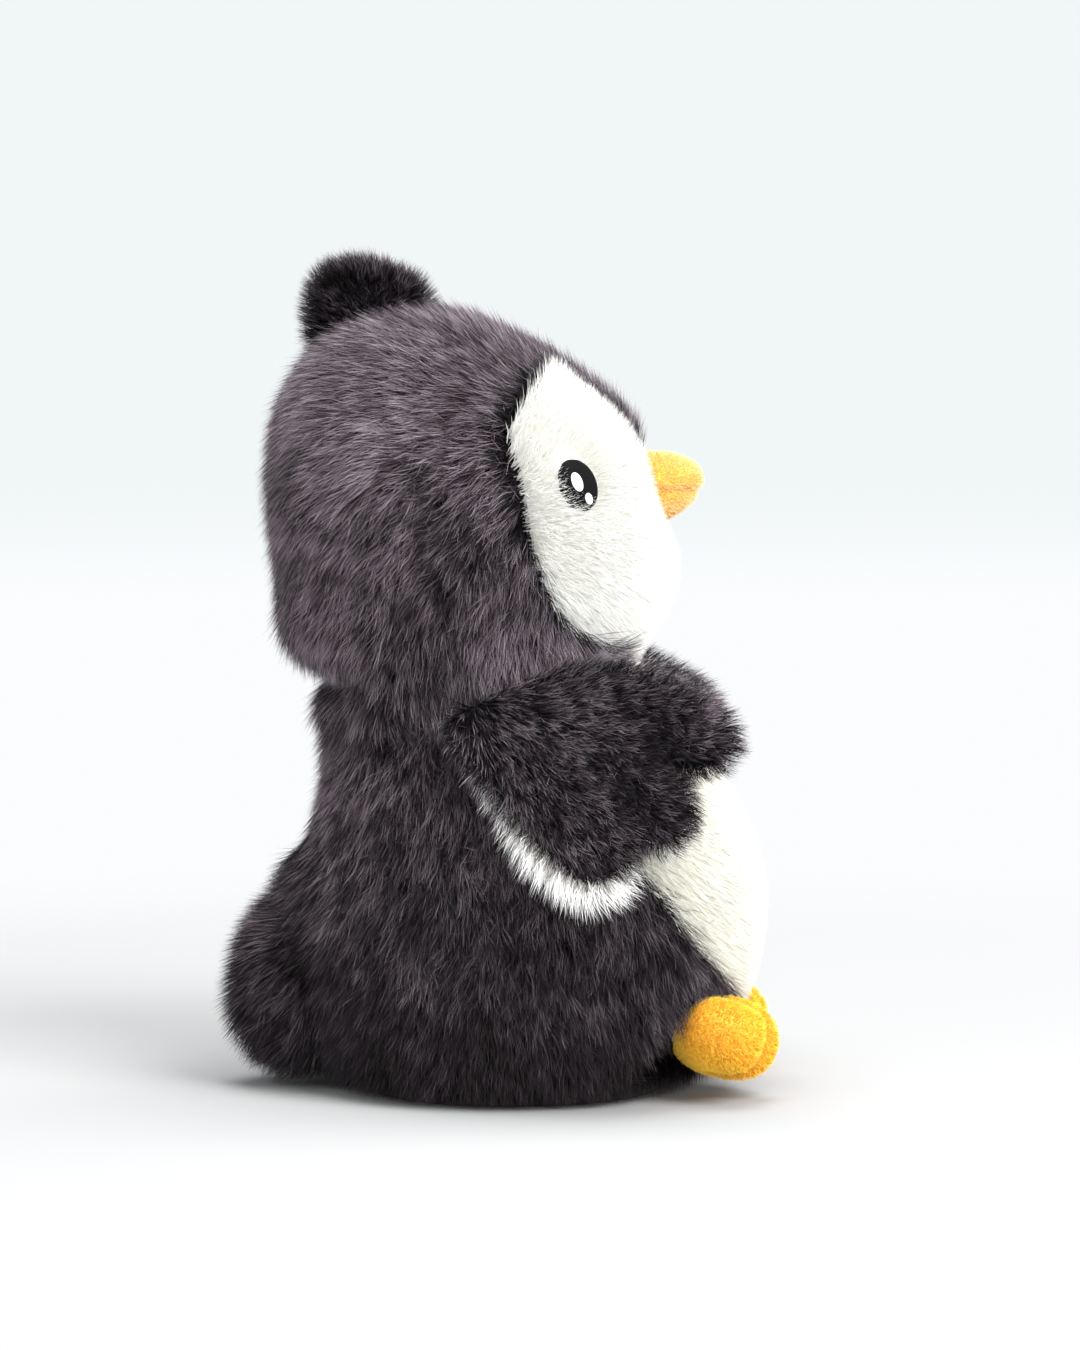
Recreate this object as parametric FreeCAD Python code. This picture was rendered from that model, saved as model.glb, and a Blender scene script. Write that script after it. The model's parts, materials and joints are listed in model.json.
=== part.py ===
import FreeCAD, Part
import math
import os

# Seated plush penguin with a turning head, lifting wings, flexing feet and tail.
# Millimetres. +Z is up, the penguin faces -Y and its left side is +X.
# The origin is the centre of the flat base that it sits on.
# Every outer face is the envelope of the pile, so each sewn panel is a few
# millimetres thick: backing cloth and fur together. Stuffing fills the inside.

V = FreeCAD.Vector
X_AXIS = V(1, 0, 0)
Y_AXIS = V(0, 1, 0)
Z_AXIS = V(0, 0, 1)
BIG = 400.0

# Driving dimensions
PILE = 6.0                  # backing cloth and pile of the long-haired panels
SHORT_PILE = 2.4            # backing cloth and pile of the beak and feet
BASE_THICKNESS = 3.0        # the flat base panel
JOINT_GAP = 0.3             # between pieces that move against each other
NECK_HEIGHT = 88.2          # the neck seam's plane on the body's axis
NECK_SLOPE = 0.22           # how fast that plane rises towards the face

# Horizontal sections: height, front y, back y, half width
BODY_SECTIONS = [
    (0.0, -32.0, 35.0, 36.5),
    (4.0, -38.5, 39.5, 42.0),
    (12.0, -46.0, 43.5, 47.0),
    (22.0, -49.8, 46.5, 49.5),
    (34.0, -52.3, 48.0, 50.0),
    (46.0, -52.3, 48.0, 49.0),
    (58.0, -48.8, 45.0, 45.6),
    (70.0, -42.0, 42.6, 41.2),
    (80.0, -34.0, 41.2, 37.4),
    (90.0, -27.0, 40.0, 34.0),
    (100.0, -22.0, 39.0, 31.0),
]
HEAD_SECTIONS = [
    (72.0, -19.0, 39.0, 29.0),
    (83.0, -23.0, 44.0, 33.5),
    (94.0, -27.5, 49.2, 39.5),
    (104.0, -33.0, 51.3, 43.8),
    (114.0, -34.2, 53.0, 46.0),
    (124.0, -33.0, 53.8, 46.5),
    (134.0, -30.2, 53.6, 44.5),
    (144.0, -23.2, 51.6, 39.5),
    (152.0, -13.4, 47.5, 33.0),
    (158.0, -3.4, 42.5, 26.0),
    (162.5, 6.0, 35.5, 17.5),
    (165.0, 12.5, 28.5, 9.0),
]

# Edge of the cream belly, seen from the front: half width, height
BELLY_EDGE = [(0.0, 19.5), (18.0, 22.0), (31.0, 29.7), (37.5, 38.0), (40.0, 50.4),
              (39.0, 64.0), (34.5, 78.0), (29.0, 100.0)]

# Edge of the cream face, seen from the side: y, height
FACE_EDGE = [(-24.0, 151.0), (-11.5, 149.2), (-4.0, 146.0), (0.8, 140.0), (1.8, 135.5),
             (-0.2, 128.0), (-1.6, 118.5), (-4.2, 109.3), (-8.3, 101.2), (-13.0, 96.5),
             (-20.0, 92.0)]
PEAK_TIP_HALF_WIDTH = 2.6   # the dark strip between the eyes, at the beak
PEAK_TIP_HEIGHT = 130.0
GUSSET_HALF_WIDTH = 12.0    # the same panel over the crown and down the nape
PEAK_TOP_HEIGHT = 152.0

# Beak sections: y, centre height, half width, half height
BEAK_SECTIONS = [
    (-20.0, 126.6, 9.0, 8.1),
    (-30.0, 127.0, 8.8, 7.9),
    (-34.0, 127.5, 7.4, 6.6),
    (-37.0, 128.0, 5.2, 4.7),
    (-38.6, 128.3, 3.2, 2.8),
    (-39.3, 128.5, 1.4, 1.2),
]
BEAK_INSET = 1.8
BEAK_PARTING_HEIGHT = 126.2
BEAK_SINK = 3.0             # how deep the beak's rim sits in the pile

# Embroidered eyes: the normal's turn from the side towards the face
EYE_CENTRE = V(37.0, -13.6, 127.6)
EYE_TURN = math.radians(37.0)
EYE_TILT = math.radians(6.0)
EYE_HALF_WIDTH = 5.0
EYE_HALF_HEIGHT = 5.6
EYE_DEPTH = 2.2             # below the tips of the pile
EYE_THICKNESS = 1.4
EYE_REACH = 10.0            # how far the cutting prism runs each way
GLINT_THICKNESS = 0.4
GLINTS = [(-0.7, 0.9, 1.35, 2.0), (0.7, -3.1, 0.95, 1.2)]   # across, up, half sizes

# Crest on the crown, seen from the side: y, height
CREST_OUTLINE = [(42.0, 154.0), (45.0, 161.0), (43.4, 169.0), (38.5, 174.4), (30.5, 175.4),
                 (23.6, 172.8), (19.0, 168.0), (17.0, 161.0), (20.0, 154.0)]
CREST_LEVELS = [(0.0, 1.0), (6.0, 0.95), (10.0, 0.80), (12.0, 0.58)]
CREST_CORE_LEVELS = [(0.0, 0.62), (3.6, 0.56), (6.0, 0.38)]

# Wing, seen from the side: y, height. It flares outwards as it goes down.
WING_TOP_X = 43.4
WING_FLARE = 0.37
WING_FORWARD_FLARE = 0.09
WING_DARK_OUTLINE = [
    (16.5, 79.0), (14.0, 84.0), (4.0, 88.8), (-6.0, 92.6), (-16.0, 94.2), (-26.5, 92.4),
    (-36.5, 87.6), (-43.8, 82.4), (-46.6, 76.8), (-44.5, 70.8), (-39.0, 66.4), (-36.4, 61.0),
    (-33.6, 56.0), (-28.6, 54.0), (-24.2, 56.6), (-21.6, 51.4), (-16.4, 47.7), (-9.6, 48.4),
    (-0.6, 55.0), (8.6, 65.4), (14.8, 73.0)]
WING_CREAM_OUTLINE = [
    (16.5, 79.0), (14.0, 84.0), (4.0, 88.8), (-6.0, 92.6), (-16.0, 94.2), (-26.5, 92.4),
    (-36.5, 87.6), (-43.8, 82.4), (-46.6, 76.8), (-44.5, 70.6), (-39.5, 65.0), (-37.0, 59.0),
    (-34.0, 53.2), (-28.8, 50.6), (-23.6, 51.6), (-18.6, 46.0), (-11.0, 42.6), (-4.0, 45.6),
    (3.2, 52.8), (10.4, 63.4), (15.2, 72.0)]
WING_LEVELS = [(0.0, 1.0), (2.6, 0.965), (4.6, 0.89), (5.6, 0.78)]
WING_CORE_LEVELS = [(0.0, 0.80), (1.6, 0.76), (2.6, 0.66)]
WING_HINGE_BACK = (12.0, 80.0)

# Foot, seen from above: x, y. The outer toe is the highest.
FOOT_OUTLINE = [(13.6, -32.0), (9.6, -38.0), (8.4, -45.5), (11.2, -51.0), (15.6, -52.6),
                (19.6, -50.6), (22.4, -54.0), (26.0, -54.6), (29.0, -51.4), (33.5, -51.6),
                (38.6, -49.0), (41.0, -43.0), (39.6, -36.8), (35.0, -33.2), (28.0, -31.4),
                (20.0, -30.8)]
FOOT_LEVELS = [(0.0, 1.0), (4.0, 0.94), (6.6, 0.80), (8.0, 0.58)]
FOOT_CORE_LEVELS = [(0.0, 0.82), (3.4, 0.76), (5.4, 0.58)]
FOOT_HINGE = V(22.0, -33.0, 15.0)
FOOT_BANK = 0.2             # rises towards the outer toe
FOOT_PITCH = 0.25           # falls towards the toes
FOOT_ROOT_RADIUS = 7.6
FOOT_ROOT_HALF = 9.0
FOOT_LIFT_DEG = 18.0
FOOT_DROP_DEG = 5.0
POCKET_REACH = 30.0         # how far forwards the foot's pocket runs
POCKET_WIDTH = 35.2
POCKET_INNER = 14.6         # from the hinge to the pocket's inner side
POCKET_LIP = 2.6            # how far behind the hinge the pocket's lip starts

# Tail: a stuffed lobe on a cross hinge, with its tip low at the back
TAIL_HINGE = V(0, 44.6, 24.4)
TAIL_RADIUS = 17.2
TAIL_HALF_WIDTH = 18.0
TAIL_SHOULDER = 9.0
TAIL_TIP_CENTRE = V(0, 51.5, 18.4)
TAIL_TIP_RADIUS = 10.4

# Bean bag in the seat
POUCH_CENTRE = V(0, -4.0, 16.0)
POUCH_RADIUS = 25.0
POUCH_HALF_HEIGHT = 9.5
POUCH_CLOTH = 0.7
POUCH_SHOULDER = (0.72, 0.78)   # share of the radius and of the half height


def ring(front_y, back_y, half_width, height):
    """Closed oval wire at a height, through points of an ellipse."""
    middle = 0.5 * (front_y + back_y)
    half_depth = 0.5 * (back_y - front_y)
    steps = 16
    points = []
    for step in range(steps):
        turn = 2.0 * math.pi * step / steps
        points.append(V(half_width * math.cos(turn), middle + half_depth * math.sin(turn), height))
    return closed_curve(points)


def closed_curve(points):
    """One smooth closed wire through the points."""
    curve = Part.BSplineCurve()
    curve.interpolate(Points=points, PeriodicFlag=True)
    return Part.Wire([curve.toShape()])


def sectioned(sections, inset=0.0, drop_ends=0.0):
    """Solid lofted through horizontal ovals, each drawn in by inset."""
    lowest, highest = sections[0][0], sections[-1][0]
    wires = []
    for height, front_y, back_y, half_width in sections:
        if half_width - inset < 3.0:
            continue
        share = (height - lowest) / (highest - lowest)
        wires.append(ring(front_y + inset, back_y - inset, half_width - inset,
                          height - drop_ends * share))
    return Part.makeLoft(wires, True, False)


def slab_x(low, high):
    """Everything between two x values."""
    return Part.makeBox(high - low, 2 * BIG, 2 * BIG, V(low, -BIG, -BIG))


def slab_y(low, high):
    """Everything between two y values."""
    return Part.makeBox(2 * BIG, high - low, 2 * BIG, V(-BIG, low, -BIG))


def slab_z(low, high):
    """Everything between two heights."""
    return Part.makeBox(2 * BIG, 2 * BIG, high - low, V(-BIG, -BIG, low))


def prism(points, direction, length):
    """Straight-sided prism on a polygon."""
    wire = Part.makePolygon(points + [points[0]])
    return Part.Face(wire).extrude(direction * length)


def mirrored(shape):
    """The same shape on the penguin's right side."""
    return shape.mirror(V(0, 0, 0), X_AXIS)


def drawn_in(outline, share):
    """Outline scaled to a share of its size about the middle of its points."""
    middle_a = sum(a for a, _ in outline) / len(outline)
    middle_b = sum(b for _, b in outline) / len(outline)
    return [(middle_a + share * (a - middle_a), middle_b + share * (b - middle_b)) for a, b in outline]


def padded(outline, place, normal, levels, side):
    """One half of a stuffed flat shape: lofted from its seam outline to its crown."""
    wires = []
    for rise, share in levels:
        points = [place(a, b) + normal * (rise * side) for a, b in drawn_in(outline, share)]
        wires.append(closed_curve(points))
    return Part.makeLoft(wires, True, False)


def both_halves(outline, place, normal, levels):
    """A whole stuffed flat shape."""
    upper = padded(outline, place, normal, levels, 1.0)
    lower = padded(outline, place, normal, levels, -1.0)
    return upper.fuse(lower).removeSplitter()


def largest(shape):
    """The biggest solid that a cut leaves."""
    return max(shape.Solids, key=lambda solid: solid.Volume)


def above_neck(clearance):
    """The half space above the tilted neck plane, raised by a clearance."""
    tilt = math.atan(NECK_SLOPE)
    box = Part.makeBox(2 * BIG, 2 * BIG, BIG, V(-BIG, -BIG, clearance))
    box.rotate(V(0, 0, 0), X_AXIS, -math.degrees(tilt))
    box.translate(V(0, 0, NECK_HEIGHT))
    return box


def export(name, shape):
    """Write one sub-part to its own file."""
    if not shape.isValid():
        print("not valid:", name)
    shape.exportStep("parts/" + name + ".step")
    print(f"{name:28s} {shape.Volume / 1000.0:8.2f} cm3  {len(shape.Solids)} solid(s)")


def wing_point(y, z):
    """Point of the left wing's middle sheet at a y and a height."""
    x = WING_TOP_X + WING_FORWARD_FLARE * (WING_HINGE_BACK[0] - y) - WING_FLARE * (z - WING_HINGE_BACK[1])
    return V(x, y, z)


def wing_normal():
    """Outward normal of the left wing's middle sheet."""
    normal = V(1.0, WING_FORWARD_FLARE, WING_FLARE)
    normal.normalize()
    return normal


def make_wing():
    """Left wing: dark outer panel, cream inner panel and the stuffing between them."""
    normal = wing_normal()
    stuffing = both_halves(WING_DARK_OUTLINE, wing_point, normal, WING_CORE_LEVELS)
    outer = padded(WING_DARK_OUTLINE, wing_point, normal, WING_LEVELS, 1.0).cut(stuffing)
    inner = padded(WING_CREAM_OUTLINE, wing_point, normal, WING_LEVELS, -1.0).cut(stuffing)
    return {"outer_panel": outer, "inner_panel": inner, "stuffing": stuffing}


def foot_point(x, y):
    """Point of the left foot's middle sheet."""
    z = FOOT_HINGE.z + FOOT_BANK * (x - FOOT_HINGE.x) + FOOT_PITCH * (y - FOOT_HINGE.y)
    return V(x, y, z)


def foot_axis():
    """Direction of the foot's hinge: across the foot, banked with it."""
    axis = V(1.0, 0.0, FOOT_BANK)
    axis.normalize()
    return axis


def foot_normal():
    """Upward normal of the foot's middle sheet."""
    normal = V(-FOOT_BANK, -FOOT_PITCH, 1.0)
    normal.normalize()
    return normal


def foot_root(radius, half_length):
    """Round root of the foot, which turns inside the body's pocket."""
    axis = foot_axis()
    return Part.makeCylinder(radius, 2 * half_length, FOOT_HINGE - axis * half_length, axis)


def make_foot():
    """Left foot: top panel, sole panel and stuffing."""
    normal = foot_normal()
    root = foot_root(FOOT_ROOT_RADIUS, FOOT_ROOT_HALF)
    whole = both_halves(FOOT_OUTLINE, foot_point, normal, FOOT_LEVELS).fuse(root)
    core_root = foot_root(FOOT_ROOT_RADIUS - SHORT_PILE, FOOT_ROOT_HALF - SHORT_PILE)
    stuffing = both_halves(FOOT_OUTLINE, foot_point, normal, FOOT_CORE_LEVELS).fuse(core_root)
    skin = whole.cut(stuffing)
    upper = Part.makeBox(2 * BIG, 2 * BIG, BIG, V(-BIG, -BIG, 0))
    turn = FreeCAD.Rotation(Z_AXIS, normal)
    upper.Placement = FreeCAD.Placement(FOOT_HINGE, turn)
    return {"top_panel": skin.common(upper), "sole_panel": skin.cut(upper), "stuffing": stuffing}


def foot_pocket():
    """Room in the body for the left foot's root over the whole of its travel."""
    axis = foot_axis()
    room = foot_root(FOOT_ROOT_RADIUS + JOINT_GAP, FOOT_ROOT_HALF + JOINT_GAP)
    half_height = FOOT_LEVELS[-1][0] + 3 * JOINT_GAP
    half_width = 0.5 * POCKET_WIDTH
    pieces = []
    for angle in (-FOOT_DROP_DEG, 0.0, 0.5 * FOOT_LIFT_DEG, FOOT_LIFT_DEG):
        box = Part.makeBox(POCKET_WIDTH, POCKET_REACH, 2 * half_height,
                           V(-POCKET_INNER, -POCKET_REACH, -half_height))
        box.Placement = FreeCAD.Placement(FOOT_HINGE, FreeCAD.Rotation(Z_AXIS, foot_normal()))
        box.rotate(FOOT_HINGE, axis, -angle)
        pieces.append(box)
    round_room = foot_root(half_height, half_width)
    round_room.translate(axis * (half_width - POCKET_INNER))
    return room.fuse(pieces + [round_room.common(slab_y(-BIG, FOOT_HINGE.y + POCKET_LIP))])


def barrel(radius, half_width, shoulder):
    """Rounded barrel about the tail's hinge axis."""
    end_radius = radius - shoulder
    haunch, haunch_radius = 0.8 * half_width, radius - 0.4 * shoulder
    profile = Part.BSplineCurve()
    profile.interpolate([V(-half_width, 0, end_radius), V(-haunch, 0, haunch_radius), V(0, 0, radius),
                         V(haunch, 0, haunch_radius), V(half_width, 0, end_radius)])
    edges = [profile.toShape(),
             Part.LineSegment(V(half_width, 0, end_radius), V(half_width, 0, 0)).toShape(),
             Part.LineSegment(V(half_width, 0, 0), V(-half_width, 0, 0)).toShape(),
             Part.LineSegment(V(-half_width, 0, 0), V(-half_width, 0, end_radius)).toShape()]
    solid = Part.Face(Part.Wire(edges)).revolve(V(0, 0, 0), X_AXIS, 360)
    solid.translate(TAIL_HINGE)
    return solid


def tail_lobe(inset):
    """The tail's whole form, drawn in by an inset."""
    tip = Part.makeSphere(TAIL_TIP_RADIUS - inset, TAIL_TIP_CENTRE)
    return barrel(TAIL_RADIUS - inset, TAIL_HALF_WIDTH - inset, TAIL_SHOULDER).fuse(tip).removeSplitter()


def make_tail():
    """Tail: top panel, under panel and stuffing."""
    stuffing = tail_lobe(PILE)
    skin = tail_lobe(0.0).cut(stuffing)
    return {"top_panel": skin.common(slab_z(TAIL_HINGE.z, BIG)),
            "under_panel": skin.common(slab_z(-BIG, TAIL_HINGE.z)),
            "stuffing": stuffing}


def face_cutter():
    """Side-view prism of the cream face, through both sides of the head."""
    curve = Part.BSplineCurve()
    curve.interpolate([V(-BIG, y, z) for y, z in FACE_EDGE])
    top, bottom = FACE_EDGE[0], FACE_EDGE[-1]
    corners = [V(-BIG, bottom[0], bottom[1]), V(-BIG, -60.0, 60.0),
               V(-BIG, -60.0, 160.0), V(-BIG, top[0], top[1])]
    edges = [curve.toShape()]
    for start, end in zip(corners[:-1], corners[1:]):
        edges.append(Part.LineSegment(start, end).toShape())
    return Part.Face(Part.Wire(Part.__sortEdges__(edges))).extrude(X_AXIS * (2 * BIG))


def gusset_cutter():
    """The dark centre panel: a peak between the eyes, wider over the crown and nape."""
    wide, narrow = GUSSET_HALF_WIDTH, PEAK_TIP_HALF_WIDTH
    middle = 0.45 * wide
    middle_height = 0.5 * (PEAK_TIP_HEIGHT + PEAK_TOP_HEIGHT)
    half = [(narrow, PEAK_TIP_HEIGHT), (middle, middle_height), (wide, PEAK_TOP_HEIGHT), (wide, 200.0)]
    outline = half + [(-x, z) for x, z in reversed(half)]
    peak = prism([V(x, -BIG, z) for x, z in outline], Y_AXIS, 2 * BIG)
    nape = slab_x(-wide, wide).common(slab_y(10.0, BIG))
    return peak.fuse(nape)


def belly_cutter():
    """Front-view prism of the cream belly, through the front of the body only."""
    half = BELLY_EDGE[1:]
    points = [V(-x, -BIG, z) for x, z in reversed(half)]
    points += [V(BELLY_EDGE[0][0], -BIG, BELLY_EDGE[0][1])]
    points += [V(x, -BIG, z) for x, z in half]
    curve = Part.BSplineCurve()
    curve.interpolate(points)
    lid = Part.LineSegment(points[-1], points[0]).toShape()
    return Part.Face(Part.Wire([curve.toShape(), lid])).extrude(Y_AXIS * BIG)


def make_body(pockets):
    """Body: sewn panels, base, stuffing and the bean bag in the seat."""
    base_slab = slab_z(-BIG, BASE_THICKNESS)
    whole = sectioned(BODY_SECTIONS).cut(above_neck(-0.5 * JOINT_GAP))
    base = whole.common(base_slab)
    upper = whole.cut(base_slab)
    core = sectioned(BODY_SECTIONS, PILE).cut(above_neck(-0.5 * JOINT_GAP)).cut(base_slab)
    shell = upper.cut(core).cut(pockets)
    belly_shape = belly_cutter()
    belly = shell.common(belly_shape)
    dark = shell.cut(belly_shape)
    pouch = squashed_ball(POUCH_RADIUS, POUCH_HALF_HEIGHT)
    fill = squashed_ball(POUCH_RADIUS - POUCH_CLOTH, POUCH_HALF_HEIGHT - POUCH_CLOTH)
    stuffing = core.cut(pockets).cut(pouch)
    seat = slab_z(-BIG, POUCH_CENTRE.z)
    halves = stuffing.common(seat).Solids + stuffing.cut(seat).Solids
    return {"body_back_panel_left": dark.common(slab_x(0, BIG)),
            "body_back_panel_right": dark.common(slab_x(-BIG, 0)),
            "belly_panel": belly,
            "base_panel": base,
            "body_stuffing": Part.makeCompound(halves),
            "pellet_pouch": pouch.cut(fill),
            "pellet_fill": fill}


def squashed_ball(radius, half_height):
    """Low round bag: a revolved lens with a rounded rim."""
    rim = V(radius, 0, 0)
    top, bottom = V(0, 0, half_height), V(0, 0, -half_height)
    out, rise = POUCH_SHOULDER[0] * radius, POUCH_SHOULDER[1] * half_height
    shoulder, lower = V(out, 0, rise), V(out, 0, -rise)
    curve = Part.BSplineCurve()
    curve.interpolate([bottom, lower, rim, shoulder, top])
    axis = Part.LineSegment(top, bottom).toShape()
    solid = Part.Face(Part.Wire([curve.toShape(), axis])).revolve(V(0, 0, 0), Z_AXIS, 360)
    solid.translate(POUCH_CENTRE)
    return solid


def beak_form(inset):
    """The beak's whole form, drawn in by an inset."""
    wires = []
    for y, z, half_width, half_height in BEAK_SECTIONS:
        if half_height - inset < 0.6:
            continue
        points = []
        for step in range(12):
            turn = 2 * math.pi * step / 12
            points.append(V((half_width - inset) * math.cos(turn), y,
                            z + (half_height - inset) * math.sin(turn)))
        wires.append(closed_curve(points))
    return Part.makeLoft(wires, True, False)


def eye_prism(across, up, half_width, half_height):
    """Elliptical prism along the left eye's normal, at a place on the eye."""
    normal = V(math.cos(EYE_TURN), -math.sin(EYE_TURN), 0)
    level = V(-math.sin(EYE_TURN), -math.cos(EYE_TURN), 0)
    side = level * math.cos(EYE_TILT) + Z_AXIS * math.sin(EYE_TILT)
    rise = Z_AXIS * math.cos(EYE_TILT) - level * math.sin(EYE_TILT)
    centre = EYE_CENTRE - normal * EYE_REACH + side * across + rise * up
    points = []
    for step in range(16):
        turn = 2 * math.pi * step / 16
        points.append(centre + side * (half_width * math.cos(turn)) + rise * (half_height * math.sin(turn)))
    return Part.Face(closed_curve(points)).extrude(normal * (2 * EYE_REACH))


def make_head():
    """Head: sewn panels, stuffing, beak, embroidered eyes and the crest."""
    over = above_neck(0.5 * JOINT_GAP)
    whole = sectioned(HEAD_SECTIONS).common(over)
    core = sectioned(HEAD_SECTIONS, PILE, PILE).common(over)
    eye_top = sectioned(HEAD_SECTIONS, EYE_DEPTH, EYE_DEPTH)
    glint_bed = sectioned(HEAD_SECTIONS, EYE_DEPTH + GLINT_THICKNESS, EYE_DEPTH)
    eye_bed = sectioned(HEAD_SECTIONS, EYE_DEPTH + EYE_THICKNESS, EYE_DEPTH)

    eye_column = eye_prism(0, 0, EYE_HALF_WIDTH, EYE_HALF_HEIGHT)
    eye = eye_column.common(glint_bed).cut(eye_bed)
    glints = []
    for across, up, half_width, half_height in GLINTS:
        glints.append(eye_prism(across, up, half_width, half_height).common(eye_top).cut(glint_bed))
    glint_pair = Part.makeCompound([solid for glint in glints for solid in glint.Solids])
    hollow = eye_column.cut(eye_bed)

    shell = whole.cut(core)
    face_shape, gusset_shape = face_cutter(), gusset_cutter()
    beak_bed = sectioned(HEAD_SECTIONS, BEAK_SINK, BEAK_SINK)
    beak_whole = beak_form(0.0).cut(beak_bed)
    beak_core = beak_form(BEAK_INSET).cut(beak_bed)
    beak_skin = beak_whole.cut(beak_core)
    beak_parting = slab_z(BEAK_PARTING_HEIGHT, BIG)

    face = shell.common(face_shape).cut([gusset_shape, beak_whole])
    gusset = shell.common(gusset_shape).cut(beak_whole)
    sides = shell.cut(face_shape).cut(gusset_shape)
    left, right = slab_x(0, BIG), slab_x(-BIG, 0)

    crest_core = largest(both_halves(CREST_OUTLINE, crest_point, X_AXIS, CREST_CORE_LEVELS).cut(whole))
    crest_left = padded(CREST_OUTLINE, crest_point, X_AXIS, CREST_LEVELS, 1.0).cut([whole, crest_core])
    crest_right = padded(CREST_OUTLINE, crest_point, X_AXIS, CREST_LEVELS, -1.0).cut([whole, crest_core])

    face_left = face.common(left).cut(hollow)
    return {"head_gusset": gusset,
            "head_side_panel_left": sides.common(left),
            "head_side_panel_right": sides.common(right),
            "face_panel_left": face_left,
            "face_panel_right": mirrored(face_left),
            "head_stuffing": core,
            "beak_upper_panel": beak_skin.common(beak_parting),
            "beak_lower_panel": beak_skin.cut(beak_parting),
            "beak_stuffing": beak_core,
            "eye_left": eye,
            "eye_right": mirrored(eye),
            "eye_glints_left": glint_pair,
            "eye_glints_right": mirrored(glint_pair),
            "crest_left_panel": largest(crest_left),
            "crest_right_panel": largest(crest_right),
            "crest_stuffing": crest_core}


def crest_point(y, z):
    """Point of the crest's middle sheet, which stands on the head's centre line."""
    return V(0, y, z)


def main():
    os.makedirs("parts", exist_ok=True)
    tail_room = barrel(TAIL_RADIUS + JOINT_GAP, TAIL_HALF_WIDTH + JOINT_GAP, TAIL_SHOULDER)
    left_room = foot_pocket()
    pockets = tail_room.fuse([left_room, mirrored(left_room)])
    for name, shape in make_body(pockets).items():
        export(name, shape)
    for name, shape in make_head().items():
        export(name, shape)
    for name, shape in make_tail().items():
        export("tail_" + name, shape)
    for limb, pieces in (("wing", make_wing()), ("foot", make_foot())):
        for name, shape in pieces.items():
            export(f"{limb}_left_{name}", shape)
            export(f"{limb}_right_{name}", mirrored(shape))


main()
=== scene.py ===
"""Seated plush penguin: long dark pile, a cream face and belly, and an orange velour beak and feet.

Sizes are in millimetres inside the classes and in metres in the scene. +Z is up, the
penguin faces -Y and its left side is +X. Each sub-assembly is a stuffed cloth form with
its pile sewn on, panel by panel.
"""
from __future__ import annotations

import json
import logging
import math
from collections.abc import Callable, Sequence
from dataclasses import dataclass, replace
from enum import Enum

import bmesh
import bpy
import numpy as np
from mathutils import Matrix, Vector
from mathutils.bvhtree import BVHTree

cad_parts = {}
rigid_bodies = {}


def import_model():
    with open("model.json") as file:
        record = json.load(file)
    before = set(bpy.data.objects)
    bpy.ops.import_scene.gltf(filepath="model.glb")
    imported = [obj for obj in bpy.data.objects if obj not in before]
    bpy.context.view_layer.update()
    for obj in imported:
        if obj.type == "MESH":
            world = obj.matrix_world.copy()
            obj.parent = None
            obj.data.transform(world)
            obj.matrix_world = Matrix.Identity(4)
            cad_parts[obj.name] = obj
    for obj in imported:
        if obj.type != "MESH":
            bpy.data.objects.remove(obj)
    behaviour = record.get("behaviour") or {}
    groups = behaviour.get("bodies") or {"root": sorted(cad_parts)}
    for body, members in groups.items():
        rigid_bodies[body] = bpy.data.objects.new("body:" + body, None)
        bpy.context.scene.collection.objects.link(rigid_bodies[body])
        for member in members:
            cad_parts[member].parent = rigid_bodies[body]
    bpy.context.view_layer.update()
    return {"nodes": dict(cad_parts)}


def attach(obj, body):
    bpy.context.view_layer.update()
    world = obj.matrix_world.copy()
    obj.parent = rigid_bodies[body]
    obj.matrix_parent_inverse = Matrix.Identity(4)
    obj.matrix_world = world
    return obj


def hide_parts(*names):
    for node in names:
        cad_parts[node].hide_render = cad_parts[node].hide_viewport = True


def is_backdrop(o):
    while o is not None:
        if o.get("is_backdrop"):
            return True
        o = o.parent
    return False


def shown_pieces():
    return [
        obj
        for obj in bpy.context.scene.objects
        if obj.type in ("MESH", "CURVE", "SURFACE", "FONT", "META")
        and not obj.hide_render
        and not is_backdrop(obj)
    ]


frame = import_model()

log = logging.getLogger("plush")

MM = 0.001
PALETTE_MAP = "OFBake"      # the pile's own UV map: strand tint across, root to tip up
NECK_HEIGHT = 88.2          # where the sloping neck seam meets the body's middle
NECK_SLOPE = 0.22           # how fast that seam rises towards the face
BLADE_KINDS = 7             # different strands in each coat
FLOOR_GAP = 0.3             # how near to the floor a strand may lie
FAR = 20.0                  # a reach that is well clear of any edge
COLOUR_STOPS = (0.12, 0.55, 0.97)   # where along a strand its root, middle and tip colours stand
STRAND_TINT = 0.25          # how much a strand's own tint counts
LOCK_TINT = 0.55            # how much its lock's tint counts
PATCH_TINT = 0.8            # how much the coat's blotches count
PATCH_MIDDLE = 0.35         # the blotch value that adds nothing
TINT_CONTRAST = 2.2         # how far the summed tint is spread out
TINT_SHIFT = -0.74          # and how far it is lowered
WILD_POWER = 7.0            # how rare the wildest strands are
GATHER_POWER = 1.4          # how late along a strand its lock draws it in

Array = np.ndarray
FieldRule = Callable[[Array, Array], Array]
Pull = tuple[tuple[float, float, float], float, tuple[float, float, float]]


class Side(Enum):
    """The penguin's own left and right."""

    LEFT = 1.0
    RIGHT = -1.0

    @property
    def word(self) -> str:
        """The side's name, as the pieces' names end."""
        return self.name.lower()


class Kind(Enum):
    """What a finish is made of."""

    PILE = "pile"
    CLOTH = "cloth"
    THREAD = "thread"
    FILLING = "filling"


# ---------------------------------------------------------------- node helpers


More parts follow.
